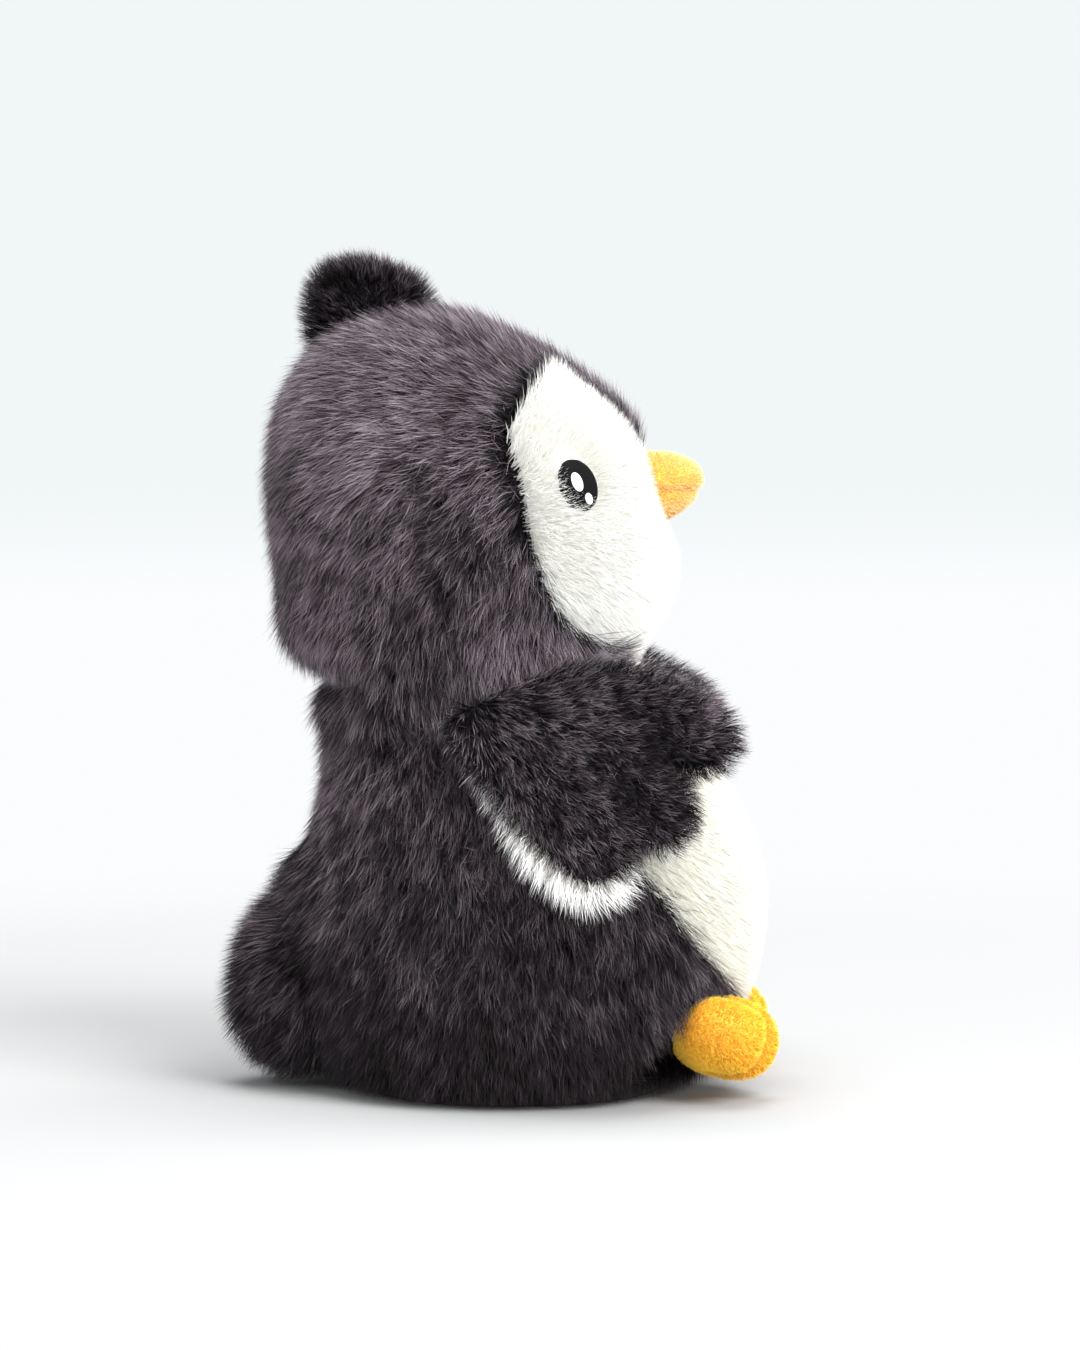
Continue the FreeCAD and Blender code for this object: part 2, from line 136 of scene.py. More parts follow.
@dataclass
class Sketch:
    """A node tree that is being filled, with short ways to add and join nodes."""

    tree: bpy.types.NodeTree

    def add(self, kind: str, values: dict[str | int, object] | None = None,
            **settings: object) -> bpy.types.Node:
        """Add a node.

        Args:
            kind: The node's type name.
            values: Input names or places, each with a plain value or the output socket that feeds it.
            settings: Properties of the node itself.

        Returns:
            The new node.
        """
        node = self.tree.nodes.new(kind)
        for name, value in settings.items():
            setattr(node, name, value)
        for name, value in (values or {}).items():
            self.feed(node, name, value)
        return node

    def feed(self, node: bpy.types.Node, name: str | int, value: object) -> None:
        """Give one input, by its name or place, a plain value, or link an output socket to it.

        Args:
            node: The node whose input is set.
            name: The input's name or its place.
            value: A plain value, or the output socket that feeds the input.
        """
        if isinstance(name, int):
            socket = node.inputs[name]
        else:
            socket = [socket for socket in node.inputs if socket.name == name and socket.enabled][0]
        if isinstance(value, bpy.types.NodeSocket):
            self.tree.links.new(value, socket)
        else:
            socket.default_value = value

    def math(self, operation: str, *terms: object, clamp: bool = False) -> bpy.types.NodeSocket:
        """The result of one sum on up to three numbers."""
        node = self.add("ShaderNodeMath", dict(enumerate(terms)), operation=operation, use_clamp=clamp)
        return node.outputs[0]

    def vector(self, operation: str, *terms: object) -> bpy.types.NodeSocket:
        """The result of one sum on two vectors."""
        return self.add("ShaderNodeVectorMath", dict(enumerate(terms)), operation=operation).outputs[0]

    def scaled(self, vector: object, scale: object) -> bpy.types.NodeSocket:
        """A vector times a number."""
        node = self.add("ShaderNodeVectorMath", {"Vector": vector, "Scale": scale}, operation="SCALE")
        return node.outputs[0]

    def ramp(self, factor: object, stops: Sequence[tuple[float, Sequence[float]]]) -> bpy.types.NodeSocket:
        """A colour that runs through the stops as the factor goes from 0 to 1.

        Args:
            factor: Where on the ramp, from 0 to 1.
            stops: Each stop's place and colour.

        Returns:
            The ramp's colour.
        """
        node = self.add("ShaderNodeValToRGB", {"Fac": factor})
        elements = node.color_ramp.elements
        while len(elements) < len(stops):
            elements.new(0.5)
        for element, (place, colour) in zip(elements, stops):
            element.position = place
            element.color = (*colour, 1.0)
        return node.outputs["Color"]

    def mixed(self, share: object, first: object, second: object, blend: str = "MIX") -> bpy.types.NodeSocket:
        """Two colours mixed by a share.

        Args:
            share: How much of the second colour there is.
            first: The first colour.
            second: The second colour.
            blend: How the two are put together.

        Returns:
            The mixed colour.
        """
        node = self.add("ShaderNodeMix", data_type="RGBA", blend_type=blend)
        self.feed(node, "Factor", share)
        self.feed(node, "A", first)
        self.feed(node, "B", second)
        return [socket for socket in node.outputs if socket.enabled][0]


def mottle_group() -> bpy.types.NodeTree:
    """The shared group of soft blotches that cloth, thread and filling use, built once.

    Returns:
        The shader node group, with Size and Contrast inputs and a Mask output from 0 to 1.
    """
    known = bpy.data.node_groups.get("mottle")
    if known:
        return known
    tree = bpy.data.node_groups.new("mottle", "ShaderNodeTree")
    tree.interface.new_socket("Size", in_out="INPUT", socket_type="NodeSocketFloat")
    tree.interface.new_socket("Contrast", in_out="INPUT", socket_type="NodeSocketFloat")
    tree.interface.new_socket("Mask", in_out="OUTPUT", socket_type="NodeSocketFloat")
    sketch = Sketch(tree)
    given = sketch.add("NodeGroupInput")
    place = sketch.add("ShaderNodeTexCoord").outputs["Object"]
    scale = sketch.math("DIVIDE", 1.0, given.outputs["Size"])
    noise = sketch.add("ShaderNodeTexNoise",
                       {"Vector": place, "Scale": scale, "Detail": 4.0, "Roughness": 0.6})
    centred = sketch.math("SUBTRACT", noise.outputs[0], 0.5)
    spread = sketch.math("MULTIPLY", centred, given.outputs["Contrast"])
    result = sketch.math("ADD", spread, 0.5, clamp=True)
    sketch.add("NodeGroupOutput", {"Mask": result})
    return tree


def weave_group() -> bpy.types.NodeTree:
    """The shared group of crossed threads that knitted backing and pouch cloth use, built once.

    Returns:
        The shader node group, with a Pitch input and a Mask output, high on the threads.
    """
    known = bpy.data.node_groups.get("weave")
    if known:
        return known
    tree = bpy.data.node_groups.new("weave", "ShaderNodeTree")
    tree.interface.new_socket("Pitch", in_out="INPUT", socket_type="NodeSocketFloat")
    tree.interface.new_socket("Mask", in_out="OUTPUT", socket_type="NodeSocketFloat")
    sketch = Sketch(tree)
    given = sketch.add("NodeGroupInput")
    place = sketch.add("ShaderNodeTexCoord").outputs["Object"]
    turns = sketch.math("DIVIDE", 2.0 * math.pi, given.outputs["Pitch"])
    parts = sketch.add("ShaderNodeSeparateXYZ", {"Vector": sketch.scaled(place, turns)})
    across = sketch.math("SINE", sketch.math("ADD", parts.outputs[0], parts.outputs[1]))
    along = sketch.math("SINE", parts.outputs[2])
    crossed = sketch.math("MULTIPLY", across, along)
    result = sketch.math("MULTIPLY_ADD", crossed, 0.5, 0.5)
    sketch.add("NodeGroupOutput", {"Mask": result})
    return tree


# ---------------------------------------------------------------- finishes


@dataclass(frozen=True)
class Finish:
    """One finish of the plush, as its colours from hollow or root to crown or tip, the darker hollows and roots
    partly painted shade.
    """

    name: str
    kind: Kind
    root: tuple[float, float, float]
    middle: tuple[float, float, float]
    tip: tuple[float, float, float]
    roughness: float = 0.7
    sheen: float = 0.0
    spread: float = 0.5
    gloss: float = 0.2
    glow: float = 0.0           # painted glow: emission of the tip colour that lifts the shade between pale fibres, for the light they pass on to each other
    grain: float = 1.0 * MM

    def material(self) -> bpy.types.Material:
        """The finish's material, made on first use.

        Returns:
            A node material whose colour comes from the pile's own map, or from Object coordinates.
        """
        known = bpy.data.materials.get(self.name)
        if known:
            return known
        material = bpy.data.materials.new(self.name)
        material.use_nodes = True
        sketch = Sketch(material.node_tree)
        shader = material.node_tree.nodes["Principled BSDF"]
        shader.inputs["Roughness"].default_value = self.roughness
        shader.inputs["Specular IOR Level"].default_value = self.gloss
        shader.inputs["Sheen Weight"].default_value = self.sheen
        shader.inputs["Sheen Roughness"].default_value = 0.5
        # painted glow: the finish weakly emits its tip colour, which lifts its shade
        if self.glow:
            shader.inputs["Emission Color"].default_value = (*self.tip, 1.0)
            shader.inputs["Emission Strength"].default_value = self.glow
        if self.kind is Kind.PILE:
            colour = self.pile_colour(sketch)
        else:
            colour = self.surface_colour(sketch, shader)
        sketch.feed(shader, "Base Color", colour)
        return material

    def pile_colour(self, sketch: Sketch) -> bpy.types.NodeSocket:
        """Colour of a strand, from its root to its tip and from the darkest strand to the lightest.

        Args:
            sketch: The node tree that is being filled.

        Returns:
            The strand's colour.
        """
        place = sketch.add("ShaderNodeUVMap", uv_map=PALETTE_MAP).outputs[0]
        parts = sketch.add("ShaderNodeSeparateXYZ", {"Vector": place})
        tint, along = parts.outputs[0], parts.outputs[1]
        low = 1.0 - self.spread
        high = 1.0 + self.spread
        darker = [tuple(min(1.0, low * c) for c in shade) for shade in (self.root, self.middle, self.tip)]
        lighter = [tuple(min(1.0, high * c) for c in shade) for shade in (self.root, self.middle, self.tip)]
        # the darker root colours are partly painted shade deep in the pile
        deep = sketch.ramp(along, list(zip(COLOUR_STOPS, darker)))
        pale = sketch.ramp(along, list(zip(COLOUR_STOPS, lighter)))
        return sketch.mixed(tint, deep, pale)

    def surface_colour(self, sketch: Sketch, shader: bpy.types.Node) -> bpy.types.NodeSocket:
        """Colour and fine relief of cloth, thread or filling.

        Args:
            sketch: The node tree that is being filled.
            shader: The shader whose normal takes the relief.

        Returns:
            The surface's colour.
        """
        blotch = sketch.add("ShaderNodeGroup", node_tree=mottle_group())
        sketch.feed(blotch, "Size", 14.0 * self.grain)
        sketch.feed(blotch, "Contrast", 1.6)
        base = sketch.ramp(blotch.outputs[0], [(0.1, self.root), (0.55, self.middle), (0.95, self.tip)])
        if self.kind is Kind.CLOTH:
            fine = sketch.add("ShaderNodeGroup", node_tree=weave_group())
            sketch.feed(fine, "Pitch", self.grain)
        else:
            fine = sketch.add("ShaderNodeGroup", node_tree=mottle_group())
            sketch.feed(fine, "Size", self.grain)
            sketch.feed(fine, "Contrast", 2.5)
        relief = {"Height": fine.outputs[0], "Strength": 0.5, "Distance": 0.3 * self.grain}
        bump = sketch.add("ShaderNodeBump", relief)
        sketch.feed(shader, "Normal", bump.outputs[0])
        # painted shade: where the fine relief is low the colour goes to the root colour, where it is high to
        # the tip colour
        return sketch.mixed(0.35, base, sketch.ramp(fine.outputs[0], [(0.0, self.root), (1.0, self.tip)]))


# Each pile's root colour is darker than its tip, partly as painted shade deep in the pile and in its creases;
# the dark pile's pale tips are partly painted highlight.
DARK_PILE = Finish("dark pile", Kind.PILE, (0.001, 0.001, 0.001), (0.026, 0.021, 0.025),
                   (0.375, 0.313, 0.354), roughness=0.55, spread=0.9, gloss=0.06)
CREAM_PILE = Finish("cream pile", Kind.PILE, (0.85, 0.845, 0.80), (0.875, 0.872, 0.84), (0.885, 0.888, 0.865),
                    roughness=0.8, sheen=0.1, spread=0.02, gloss=0.1, glow=0.1)
# a darker, creamier copy of the cream pile: partly the belly's own creamier colour, partly painted shade
BELLY_PILE = Finish("belly pile", Kind.PILE, (0.75, 0.735, 0.67), (0.785, 0.775, 0.71), (0.805, 0.80, 0.74),
                    roughness=0.8, sheen=0.1, spread=0.02, gloss=0.1, glow=0.09)
FRINGE_PILE = Finish("white pile", Kind.PILE, (0.90, 0.87, 0.82), (0.96, 0.95, 0.93), (0.98, 0.98, 0.97),
                     roughness=0.8, sheen=0.1, spread=0.03, gloss=0.1, glow=0.1)
BEAK_PILE = Finish("beak velour", Kind.PILE, (0.95, 0.58, 0.20), (0.98, 0.71, 0.32), (1.0, 0.82, 0.47),
                   roughness=0.7, sheen=0.1, spread=0.05, gloss=0.1)
FOOT_PILE = Finish("foot velour", Kind.PILE, (0.86, 0.36, 0.01), (0.98, 0.60, 0.035), (1.0, 0.78, 0.15),
                   roughness=0.7, sheen=0.1, spread=0.08, gloss=0.1, glow=0.05)
DARK_BACKING = Finish("dark backing cloth", Kind.CLOTH, (0.006, 0.005, 0.007), (0.010, 0.009, 0.011),
                      (0.016, 0.014, 0.017), roughness=0.9)
CREAM_BACKING = Finish("cream backing cloth", Kind.CLOTH, (0.86, 0.84, 0.77), (0.92, 0.90, 0.84),
                       (0.95, 0.94, 0.90), roughness=0.9)
ORANGE_BACKING = Finish("orange backing cloth", Kind.CLOTH, (0.88, 0.42, 0.03), (0.93, 0.52, 0.05),
                        (0.96, 0.60, 0.09), roughness=0.85)
BLACK_THREAD = Finish("black embroidery thread", Kind.THREAD, (0.002, 0.002, 0.002), (0.004, 0.004, 0.004),
                      (0.007, 0.007, 0.008), roughness=0.6, gloss=0.06, grain=0.3 * MM)
WHITE_THREAD = Finish("white embroidery thread", Kind.THREAD, (0.74, 0.75, 0.76), (0.86, 0.87, 0.88),
                      (0.95, 0.95, 0.95), roughness=0.4, sheen=0.1, grain=0.3 * MM)
POUCH_COTTON = Finish("pouch cotton", Kind.CLOTH, (0.62, 0.60, 0.55), (0.72, 0.70, 0.65), (0.80, 0.78, 0.74),
                      roughness=0.85, grain=0.6 * MM)
PELLETS = Finish("plastic pellets", Kind.FILLING, (0.70, 0.71, 0.72), (0.82, 0.83, 0.84), (0.93, 0.93, 0.94),
                 roughness=0.35, grain=2.5 * MM)


# ---------------------------------------------------------------- smooth lines and forms


def smooth_line(rows: Sequence[Sequence[float]], steps: int, closed: bool = False) -> Array:
    """Rows on a smooth line through the given rows.

    Args:
        rows: The rows that the line passes through.
        steps: New rows for each span between two given rows.
        closed: Whether the line runs on from the last row to the first.

    Returns:
        The new rows, with the given ones among them.
    """
    given = np.array(rows, float)
    count = len(given)
    pick = (lambda k: given[k % count]) if closed else (lambda k: given[min(max(k, 0), count - 1)])
    result = []
    for span in range(count if closed else count - 1):
        before, start, end, after = pick(span - 1), pick(span), pick(span + 1), pick(span + 2)
        for step in range(steps):
            t = step / steps
            result.append(0.5 * (2 * start + (end - before) * t
                                 + (2 * before - 5 * start + 4 * end - after) * t ** 2
                                 + (3 * start - before - 3 * end + after) * t ** 3))
    if not closed:
        result.append(given[-1])
    return np.array(result)


def signed_reach(points: Array, line: Array) -> Array:
    """How far each flat point lies to the left of a line, negative on its right.

    Args:
        points: Points to measure, two columns.
        line: Points of the line, two columns, in order.

    Returns:
        The signed distance of each point to the nearest part of the line.
    """
    starts, ends = line[:-1], line[1:]
    runs = ends - starts
    offsets = points[:, None, :] - starts[None]
    share = np.clip((offsets * runs).sum(2) / np.maximum((runs ** 2).sum(1), 1e-9), 0.0, 1.0)
    gaps = offsets - share[..., None] * runs
    distance = np.sqrt((gaps ** 2).sum(2))
    nearest = distance.argmin(1)
    rows = np.arange(len(points))
    run, offset = runs[nearest], offsets[rows, nearest]
    left = run[:, 0] * offset[:, 1] - run[:, 1] * offset[:, 0]
    return distance[rows, nearest] * np.where(left >= 0.0, 1.0, -1.0)


def unit(vectors: Array) -> Array:
    """The same directions, each of length 1."""
    return vectors / np.maximum(np.linalg.norm(vectors, axis=1), 1e-9)[:, None]


def loft(loops: Sequence[Array]) -> bmesh.types.BMesh:
    """A closed form through loops of points, in metres.

    Args:
        loops: Equal loops of points in millimetres, in order from one end to the other.

    Returns:
        The bridged form with both ends capped and its faces turned outwards.
    """
    form = bmesh.new()
    earlier: list[bmesh.types.BMEdge] = []
    for place, loop in enumerate(loops):
        made = bmesh.ops.create_circle(form, segments=len(loop), radius=1.0)["verts"]
        for vertex, point in zip(made, loop):
            vertex.co = Vector(point) * MM
        edges = list({edge for vertex in made for edge in vertex.link_edges
                      if edge.other_vert(vertex) in made})
        if place in (0, len(loops) - 1):
            bmesh.ops.contextual_create(form, geom=edges)
        if earlier:
            bmesh.ops.bridge_loops(form, edges=earlier + edges)
        earlier = edges
    bmesh.ops.recalc_face_normals(form, faces=form.faces)
    return form


def oval_loop(front: float, back: float, half_width: float, height: float, points: int) -> Array:
    """Points of a flat oval at a height, in millimetres.

    Args:
        front: The oval's foremost y.
        back: Its rearmost y.
        half_width: Half its width.
        height: Its height.
        points: How many points it has.

    Returns:
        The points, three columns.
    """
    turn = np.linspace(0.0, 2.0 * math.pi, points, endpoint=False)
    return np.stack([half_width * np.cos(turn), 0.5 * (front + back) + 0.5 * (back - front) * np.sin(turn),
                     np.full(points, height)], axis=1)


def oval_form(sections: Sequence[Sequence[float]], points: int = 96, steps: int = 5) -> bmesh.types.BMesh:
    """A form through horizontal ovals, each given as height, front y, back y and half width."""
    rows = smooth_line(sections, steps)
    return loft([oval_loop(front, back, half, height, points) for height, front, back, half in rows])


def pillow_form(outline: Sequence[Sequence[float]], levels: Sequence[tuple[float, float]],
                place: Callable[[float, float], Vector], normal: Vector, steps: int = 4) -> bmesh.types.BMesh:
    """A stuffed flat form from its seam outline.

    Args:
        outline: The seam as flat points.
        levels: Rise above the seam's sheet, and the share that the outline keeps there.
        place: Gives the point of the sheet at a flat point.
        normal: The sheet's normal.
        steps: New points for each span of the outline.

    Returns:
        The form, the same on both sides of the sheet.
    """
    flat = smooth_line(outline, steps, closed=True)
    middle = np.array(outline, float).mean(0)
    loops = []
    for rise, share in [(-r, s) for r, s in reversed(levels)] + list(levels[1:]):
        shrunk = middle + share * (flat - middle)
        loops.append(np.array([place(a, b) + normal * rise for a, b in shrunk]))
    return loft(loops)


def inset(form: bmesh.types.BMesh, depth: float) -> None:
    """Draw a whole form in along its normals by a depth in millimetres.

    Args:
        form: The form to change.
        depth: How far it is drawn in.
    """
    form.normal_update()
    moved = [(vertex, vertex.co - vertex.normal * depth * MM) for vertex in form.verts]
    for vertex, place in moved:
        vertex.co = place


def pull(form: bmesh.types.BMesh, pulls: Sequence[Pull]) -> None:
    """Draw parts of a form out or in, as stuffing and stitches do.

    Args:
        form: The form to change.
        pulls: For each, its middle, the size of the part that moves and how far its middle moves.
    """
    for spot, size, shift in pulls:
        for vertex in form.verts:
            near = math.exp(-((vertex.co / MM - Vector(spot)).length / size) ** 2)
            vertex.co += Vector(shift) * near * MM


def below_neck(places: Array) -> Array:
    """How far below the sloping neck seam each point lies."""
    return NECK_HEIGHT - NECK_SLOPE * places[:, 1] - places[:, 2]


def cut_at_neck(form: bmesh.types.BMesh, keep_above: bool, gap: float) -> None:
    """Cut a form at the sloping neck seam and close it there.

    Args:
        form: The form to cut.
        keep_above: Whether the part above the seam is kept.
        gap: How far above the seam the cut is made, in millimetres.
    """
    seam = Vector((0.0, NECK_SLOPE, 1.0)).normalized()
    centre = Vector((0.0, 0.0, NECK_HEIGHT)) * MM + seam * gap * MM
    everything = list(form.verts) + list(form.edges) + list(form.faces)
    cut = bmesh.ops.bisect_plane(form, geom=everything, plane_co=centre, plane_no=seam,
                                 clear_inner=keep_above, clear_outer=not keep_above)
    rim = [piece for piece in cut["geom_cut"] if isinstance(piece, bmesh.types.BMEdge)]
    bmesh.ops.contextual_create(form, geom=rim)


def finished(form: bmesh.types.BMesh, name: str, finish: Finish) -> bpy.types.Object:
    """Turn a form into a named object at the origin with one finish.

    Args:
        form: The form, which is freed.
        name: The piece's name.
        finish: What it is made of.

    Returns:
        The new object, linked to the scene.
    """
    mesh = bpy.data.meshes.new(name)
    form.to_mesh(mesh)
    form.free()
    mesh.materials.append(finish.material())
    mesh.shade_smooth()
    piece = bpy.data.objects.new(name, mesh)
    bpy.context.scene.collection.objects.link(piece)
    return piece


def settle(piece: bpy.types.Object, body: str, nodes: Sequence[str] = ()) -> None:
    """Fix a piece to its body and hide the solids that it stands for.

    Args:
        piece: The finished piece.
        body: The body that it moves with.
        nodes: The solids that it stands for.
    """
    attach(piece, body)
    if nodes:
        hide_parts(*nodes)
    piece.data.calc_loop_triangles()
    log.info("%s: %d triangles, rides on %s", piece.name, len(piece.data.loop_triangles), body)


# ---------------------------------------------------------------- pile


@dataclass(frozen=True)
class Coat:
    """How one kind of pile grows. Lengths are in millimetres and angles in degrees off the cloth's normal."""

    finish: Finish
    length: float
    width: float
    root_lean: float
    tip_lean: float
    density: float              # strands on a square millimetre
    segments: int = 2
    lock_density: float = 0.5   # locks on a square millimetre
    lock_draw: float = 0.8      # how far the tips of a lock draw together
    stray: float = 0.26         # how far one strand turns from its lock
    fly: float = 0.9            # how far the wildest strands turn from it
    lock_stray: float = 0.35    # how far a lock turns from the comb
    wave: float = 0.45          # how far the comb itself wanders
    wave_size: float = 11.0     # over what length it wanders
    ragged: float = 1.2         # how far strands stray over the panel's edge
    short: float = 0.72         # shortest strand, as a share of the longest

    def blade(self, turn: float, bend: float) -> bmesh.types.BMesh:
        """One tapered strand that rises from the origin along +Z and leans towards +X.

        Args:
            turn: How far its flat side turns round it, in degrees.
            bend: Added to its lean, in degrees.

        Returns:
            The strand, a strip that narrows to a point.
        """
        strand = bmesh.new()
        bmesh.ops.create_grid(strand, x_segments=1, y_segments=self.segments, size=0.5)
        along = strand.verts.layers.float.new("along")
        stations = self.spine(bend)
        for vertex in strand.verts:
            share = min(1.0, max(0.0, vertex.co.y + 0.5))
            across = vertex.co.x
            step = share * self.segments
            spot, heading = stations[round(step)]
            taper = 1.0 - share ** 1.6
            flat = Matrix.Rotation(math.radians(turn), 3, heading) @ Vector((0.0, 1.0, 0.0))
            vertex.co = (spot + flat * (across * taper * self.width)) * MM
            vertex[along] = share
        bmesh.ops.remove_doubles(strand, verts=strand.verts, dist=0.005 * MM)
        return strand

    def lean(self, share: float, bend: float) -> float:
        """A strand's lean at a share of its length, in radians."""
        return math.radians(self.root_lean + (self.tip_lean - self.root_lean) * share + bend)

    def spine(self, bend: float) -> list[tuple[Vector, Vector]]:
        """Points along a strand's middle with the direction that it has there.

        Args:
            bend: Added to the strand's lean, in degrees.

        Returns:
            Each point, in millimetres, and its direction, from root to tip.
        """
        step = self.length / self.segments
        spot = Vector((0.0, 0.0, 0.0))
        stations = []
        for place in range(self.segments + 1):
            share = place / self.segments
            here = self.lean(share, bend)
            stations.append((spot.copy(), Vector((math.sin(here), 0.0, math.cos(here)))))
            middle = self.lean(share + 0.5 / self.segments, bend)
            spot += Vector((math.sin(middle), 0.0, math.cos(middle))) * step
        return stations

    def blades(self) -> bpy.types.Collection:
        """The coat's different strands, in a collection that is cleared away at the end.

        Returns:
            The collection, the same one for the same coat.
        """
        name = "strands of " + self.finish.name + f" {self.length:g}"
        known = bpy.data.collections.get(name)
        if known:
            return known
        group = bpy.data.collections.new(name)
        for kind in range(BLADE_KINDS):
            turn = 180.0 * kind / BLADE_KINDS - 60.0
            bend = 9.0 * math.sin(2.4 * kind)
            strand = self.blade(turn, bend)
            mesh = bpy.data.meshes.new("strand")
            strand.to_mesh(mesh)
            strand.free()
            group.objects.link(bpy.data.objects.new(f"strand {kind}", mesh))
        return group


@dataclass
class PileGrower:
    """Grows pile on a cloth form, panel by panel, and leaves plain meshes."""

    coat: Coat
    seed: int

    def tree(self) -> bpy.types.NodeTree:
        """The geometry nodes that scatter, comb and lock the strands.

        Returns:
            A node group that turns a cloth form into its pile.
        """
        tree = bpy.data.node_groups.new("pile", "GeometryNodeTree")
        tree.interface.new_socket("Geometry", in_out="INPUT", socket_type="NodeSocketGeometry")
        tree.interface.new_socket("Geometry", in_out="OUTPUT", socket_type="NodeSocketGeometry")
        sketch = Sketch(tree)
        cloth = sketch.add("NodeGroupInput").outputs[0]
        place = sketch.add("GeometryNodeInputPosition").outputs[0]

        locks = self.scattered(sketch, cloth, self.coat.lock_density, 1).outputs["Points"]
        nearest = sketch.add("GeometryNodeSampleNearest", {"Geometry": locks}, domain="POINT").outputs[0]
        lock_place = sketch.add("GeometryNodeSampleIndex",
                                {"Geometry": locks, "Value": place, "Index": nearest},
                                data_type="FLOAT_VECTOR", domain="POINT").outputs[0]

        points = self.roots(sketch, cloth)
        draw = sketch.vector("SUBTRACT", lock_place, place)
        points = self.store(sketch, points, "draw", draw, "FLOAT_VECTOR")
        points = self.store(sketch, points, "tint", self.tint(sketch, place, nearest), "FLOAT")
        strands = self.sown(sketch, points, self.turn(sketch, place, nearest))
        strands = self.gathered(sketch, strands, place)
        sketch.add("NodeGroupOutput", {"Geometry": self.dressed(sketch, strands)})
        return tree

    def scattered(self, sketch: Sketch, cloth: object, density: float, salt: int) -> bpy.types.Node:
        """Points at random on the cloth.

        Args:
            sketch: The node tree that is being filled.
            cloth: The output socket of the cloth form.
            density: Points on a square millimetre.
            salt: Keeps these points apart from the others.

        Returns:
            The node that gives the points and the cloth's normal there.
        """
        values = {"Mesh": cloth, "Density": density / MM ** 2, "Seed": self.seed + salt}
        return sketch.add("GeometryNodeDistributePointsOnFaces", values)

    def roots(self, sketch: Sketch, cloth: object) -> bpy.types.NodeSocket:
        """The roots of the strands, inside the panel and a little over its edge.

        Args:
            sketch: The node tree that is being filled.
            cloth: The output socket of the cloth form.

        Returns:
            The points, each with the cloth's normal stored on it.
        """
        roots = self.scattered(sketch, cloth, self.coat.density, 0)
        reach = self.named(sketch, "reach", "FLOAT")
        stray = self.random(sketch, 2, -self.coat.ragged, self.coat.ragged)
        outside = sketch.add("FunctionNodeCompare", {"A": sketch.math("ADD", reach, stray), "B": 0.0},
                             data_type="FLOAT", operation="LESS_THAN").outputs[0]
        upright = self.store(sketch, roots.outputs["Points"], "up", roots.outputs["Normal"], "FLOAT_VECTOR")
        return sketch.add("GeometryNodeDeleteGeometry", {"Geometry": upright, "Selection": outside},
                          domain="POINT").outputs[0]

    def turn(self, sketch: Sketch, place: object, nearest: object) -> bpy.types.NodeSocket:
        """How each strand is turned: along the comb, which wanders, with its lock and a little astray.

        Args:
            sketch: The node tree that is being filled.
            place: The output socket of the points' places.
            nearest: The output socket of the nearest lock's number.

        Returns:
            The strand's rotation.
        """
        coat = self.coat
        comb = self.named(sketch, "comb", "FLOAT_VECTOR")
        drift = sketch.add("ShaderNodeTexNoise",
                           {"Vector": place, "Scale": 1.0 / (coat.wave_size * MM), "Detail": 1.5})
        wander = sketch.vector("SUBTRACT", drift.outputs["Color"], (0.5, 0.5, 0.5))
        combed = sketch.vector("ADD", comb, sketch.scaled(wander, 2.0 * coat.wave))
        combed = sketch.vector("ADD", combed, self.random_vector(sketch, 3, coat.lock_stray, nearest))
        wild = sketch.math("POWER", self.random(sketch, 10, 0.0, 1.0), WILD_POWER)
        wild = sketch.math("MULTIPLY", wild, coat.fly)
        loose = sketch.scaled(self.random_vector(sketch, 4, 1.0), sketch.math("ADD", wild, coat.stray))
        combed = sketch.vector("ADD", combed, loose)
        up = self.named(sketch, "up", "FLOAT_VECTOR")
        lift = sketch.add("ShaderNodeVectorMath", {0: comb, 1: up}, operation="DOT_PRODUCT").outputs["Value"]
        level = sketch.vector("SUBTRACT", comb, sketch.scaled(up, lift))
        raised = sketch.vector("SUBTRACT", up, sketch.scaled(level, lift))
        tilt = sketch.vector("ADD", raised, self.random_vector(sketch, 5, 0.5 * coat.lock_stray, nearest))
        tilt = sketch.vector("ADD", tilt, sketch.scaled(loose, 0.5))
        return sketch.add("FunctionNodeAxesToRotation", {"Primary Axis": tilt, "Secondary Axis": combed},
                          primary_axis="Z", secondary_axis="X").outputs[0]

    def tint(self, sketch: Sketch, place: object, nearest: object) -> bpy.types.NodeSocket:
        """How light each strand is, from its own draw, its lock's, a soft blotch and the panel's own offset,
        mostly painted light and shade.

        Args:
            sketch: The node tree that is being filled.
            place: The output socket of the points' places.
            nearest: The output socket of the nearest lock's number.

        Returns:
            The tint, from 0 at the darkest to 1 at the lightest.
        """
        blotch = sketch.add("ShaderNodeTexNoise",
                            {"Vector": place, "Scale": 0.5 / (self.coat.wave_size * MM), "Detail": 3.0})
        tint = sketch.math("MULTIPLY", self.random(sketch, 6, 0.0, 1.0), STRAND_TINT)
        shared = sketch.math("MULTIPLY", self.random(sketch, 7, 0.0, 1.0, nearest), LOCK_TINT)
        tint = sketch.math("ADD", tint, shared)
        patch = sketch.math("MULTIPLY", sketch.math("SUBTRACT", blotch.outputs[0], PATCH_MIDDLE), PATCH_TINT)
        tint = sketch.math("ADD", tint, patch)
        tint = sketch.math("MULTIPLY_ADD", tint, TINT_CONTRAST, TINT_SHIFT)
        return sketch.math("ADD", tint, self.named(sketch, "tone", "FLOAT"), clamp=True)

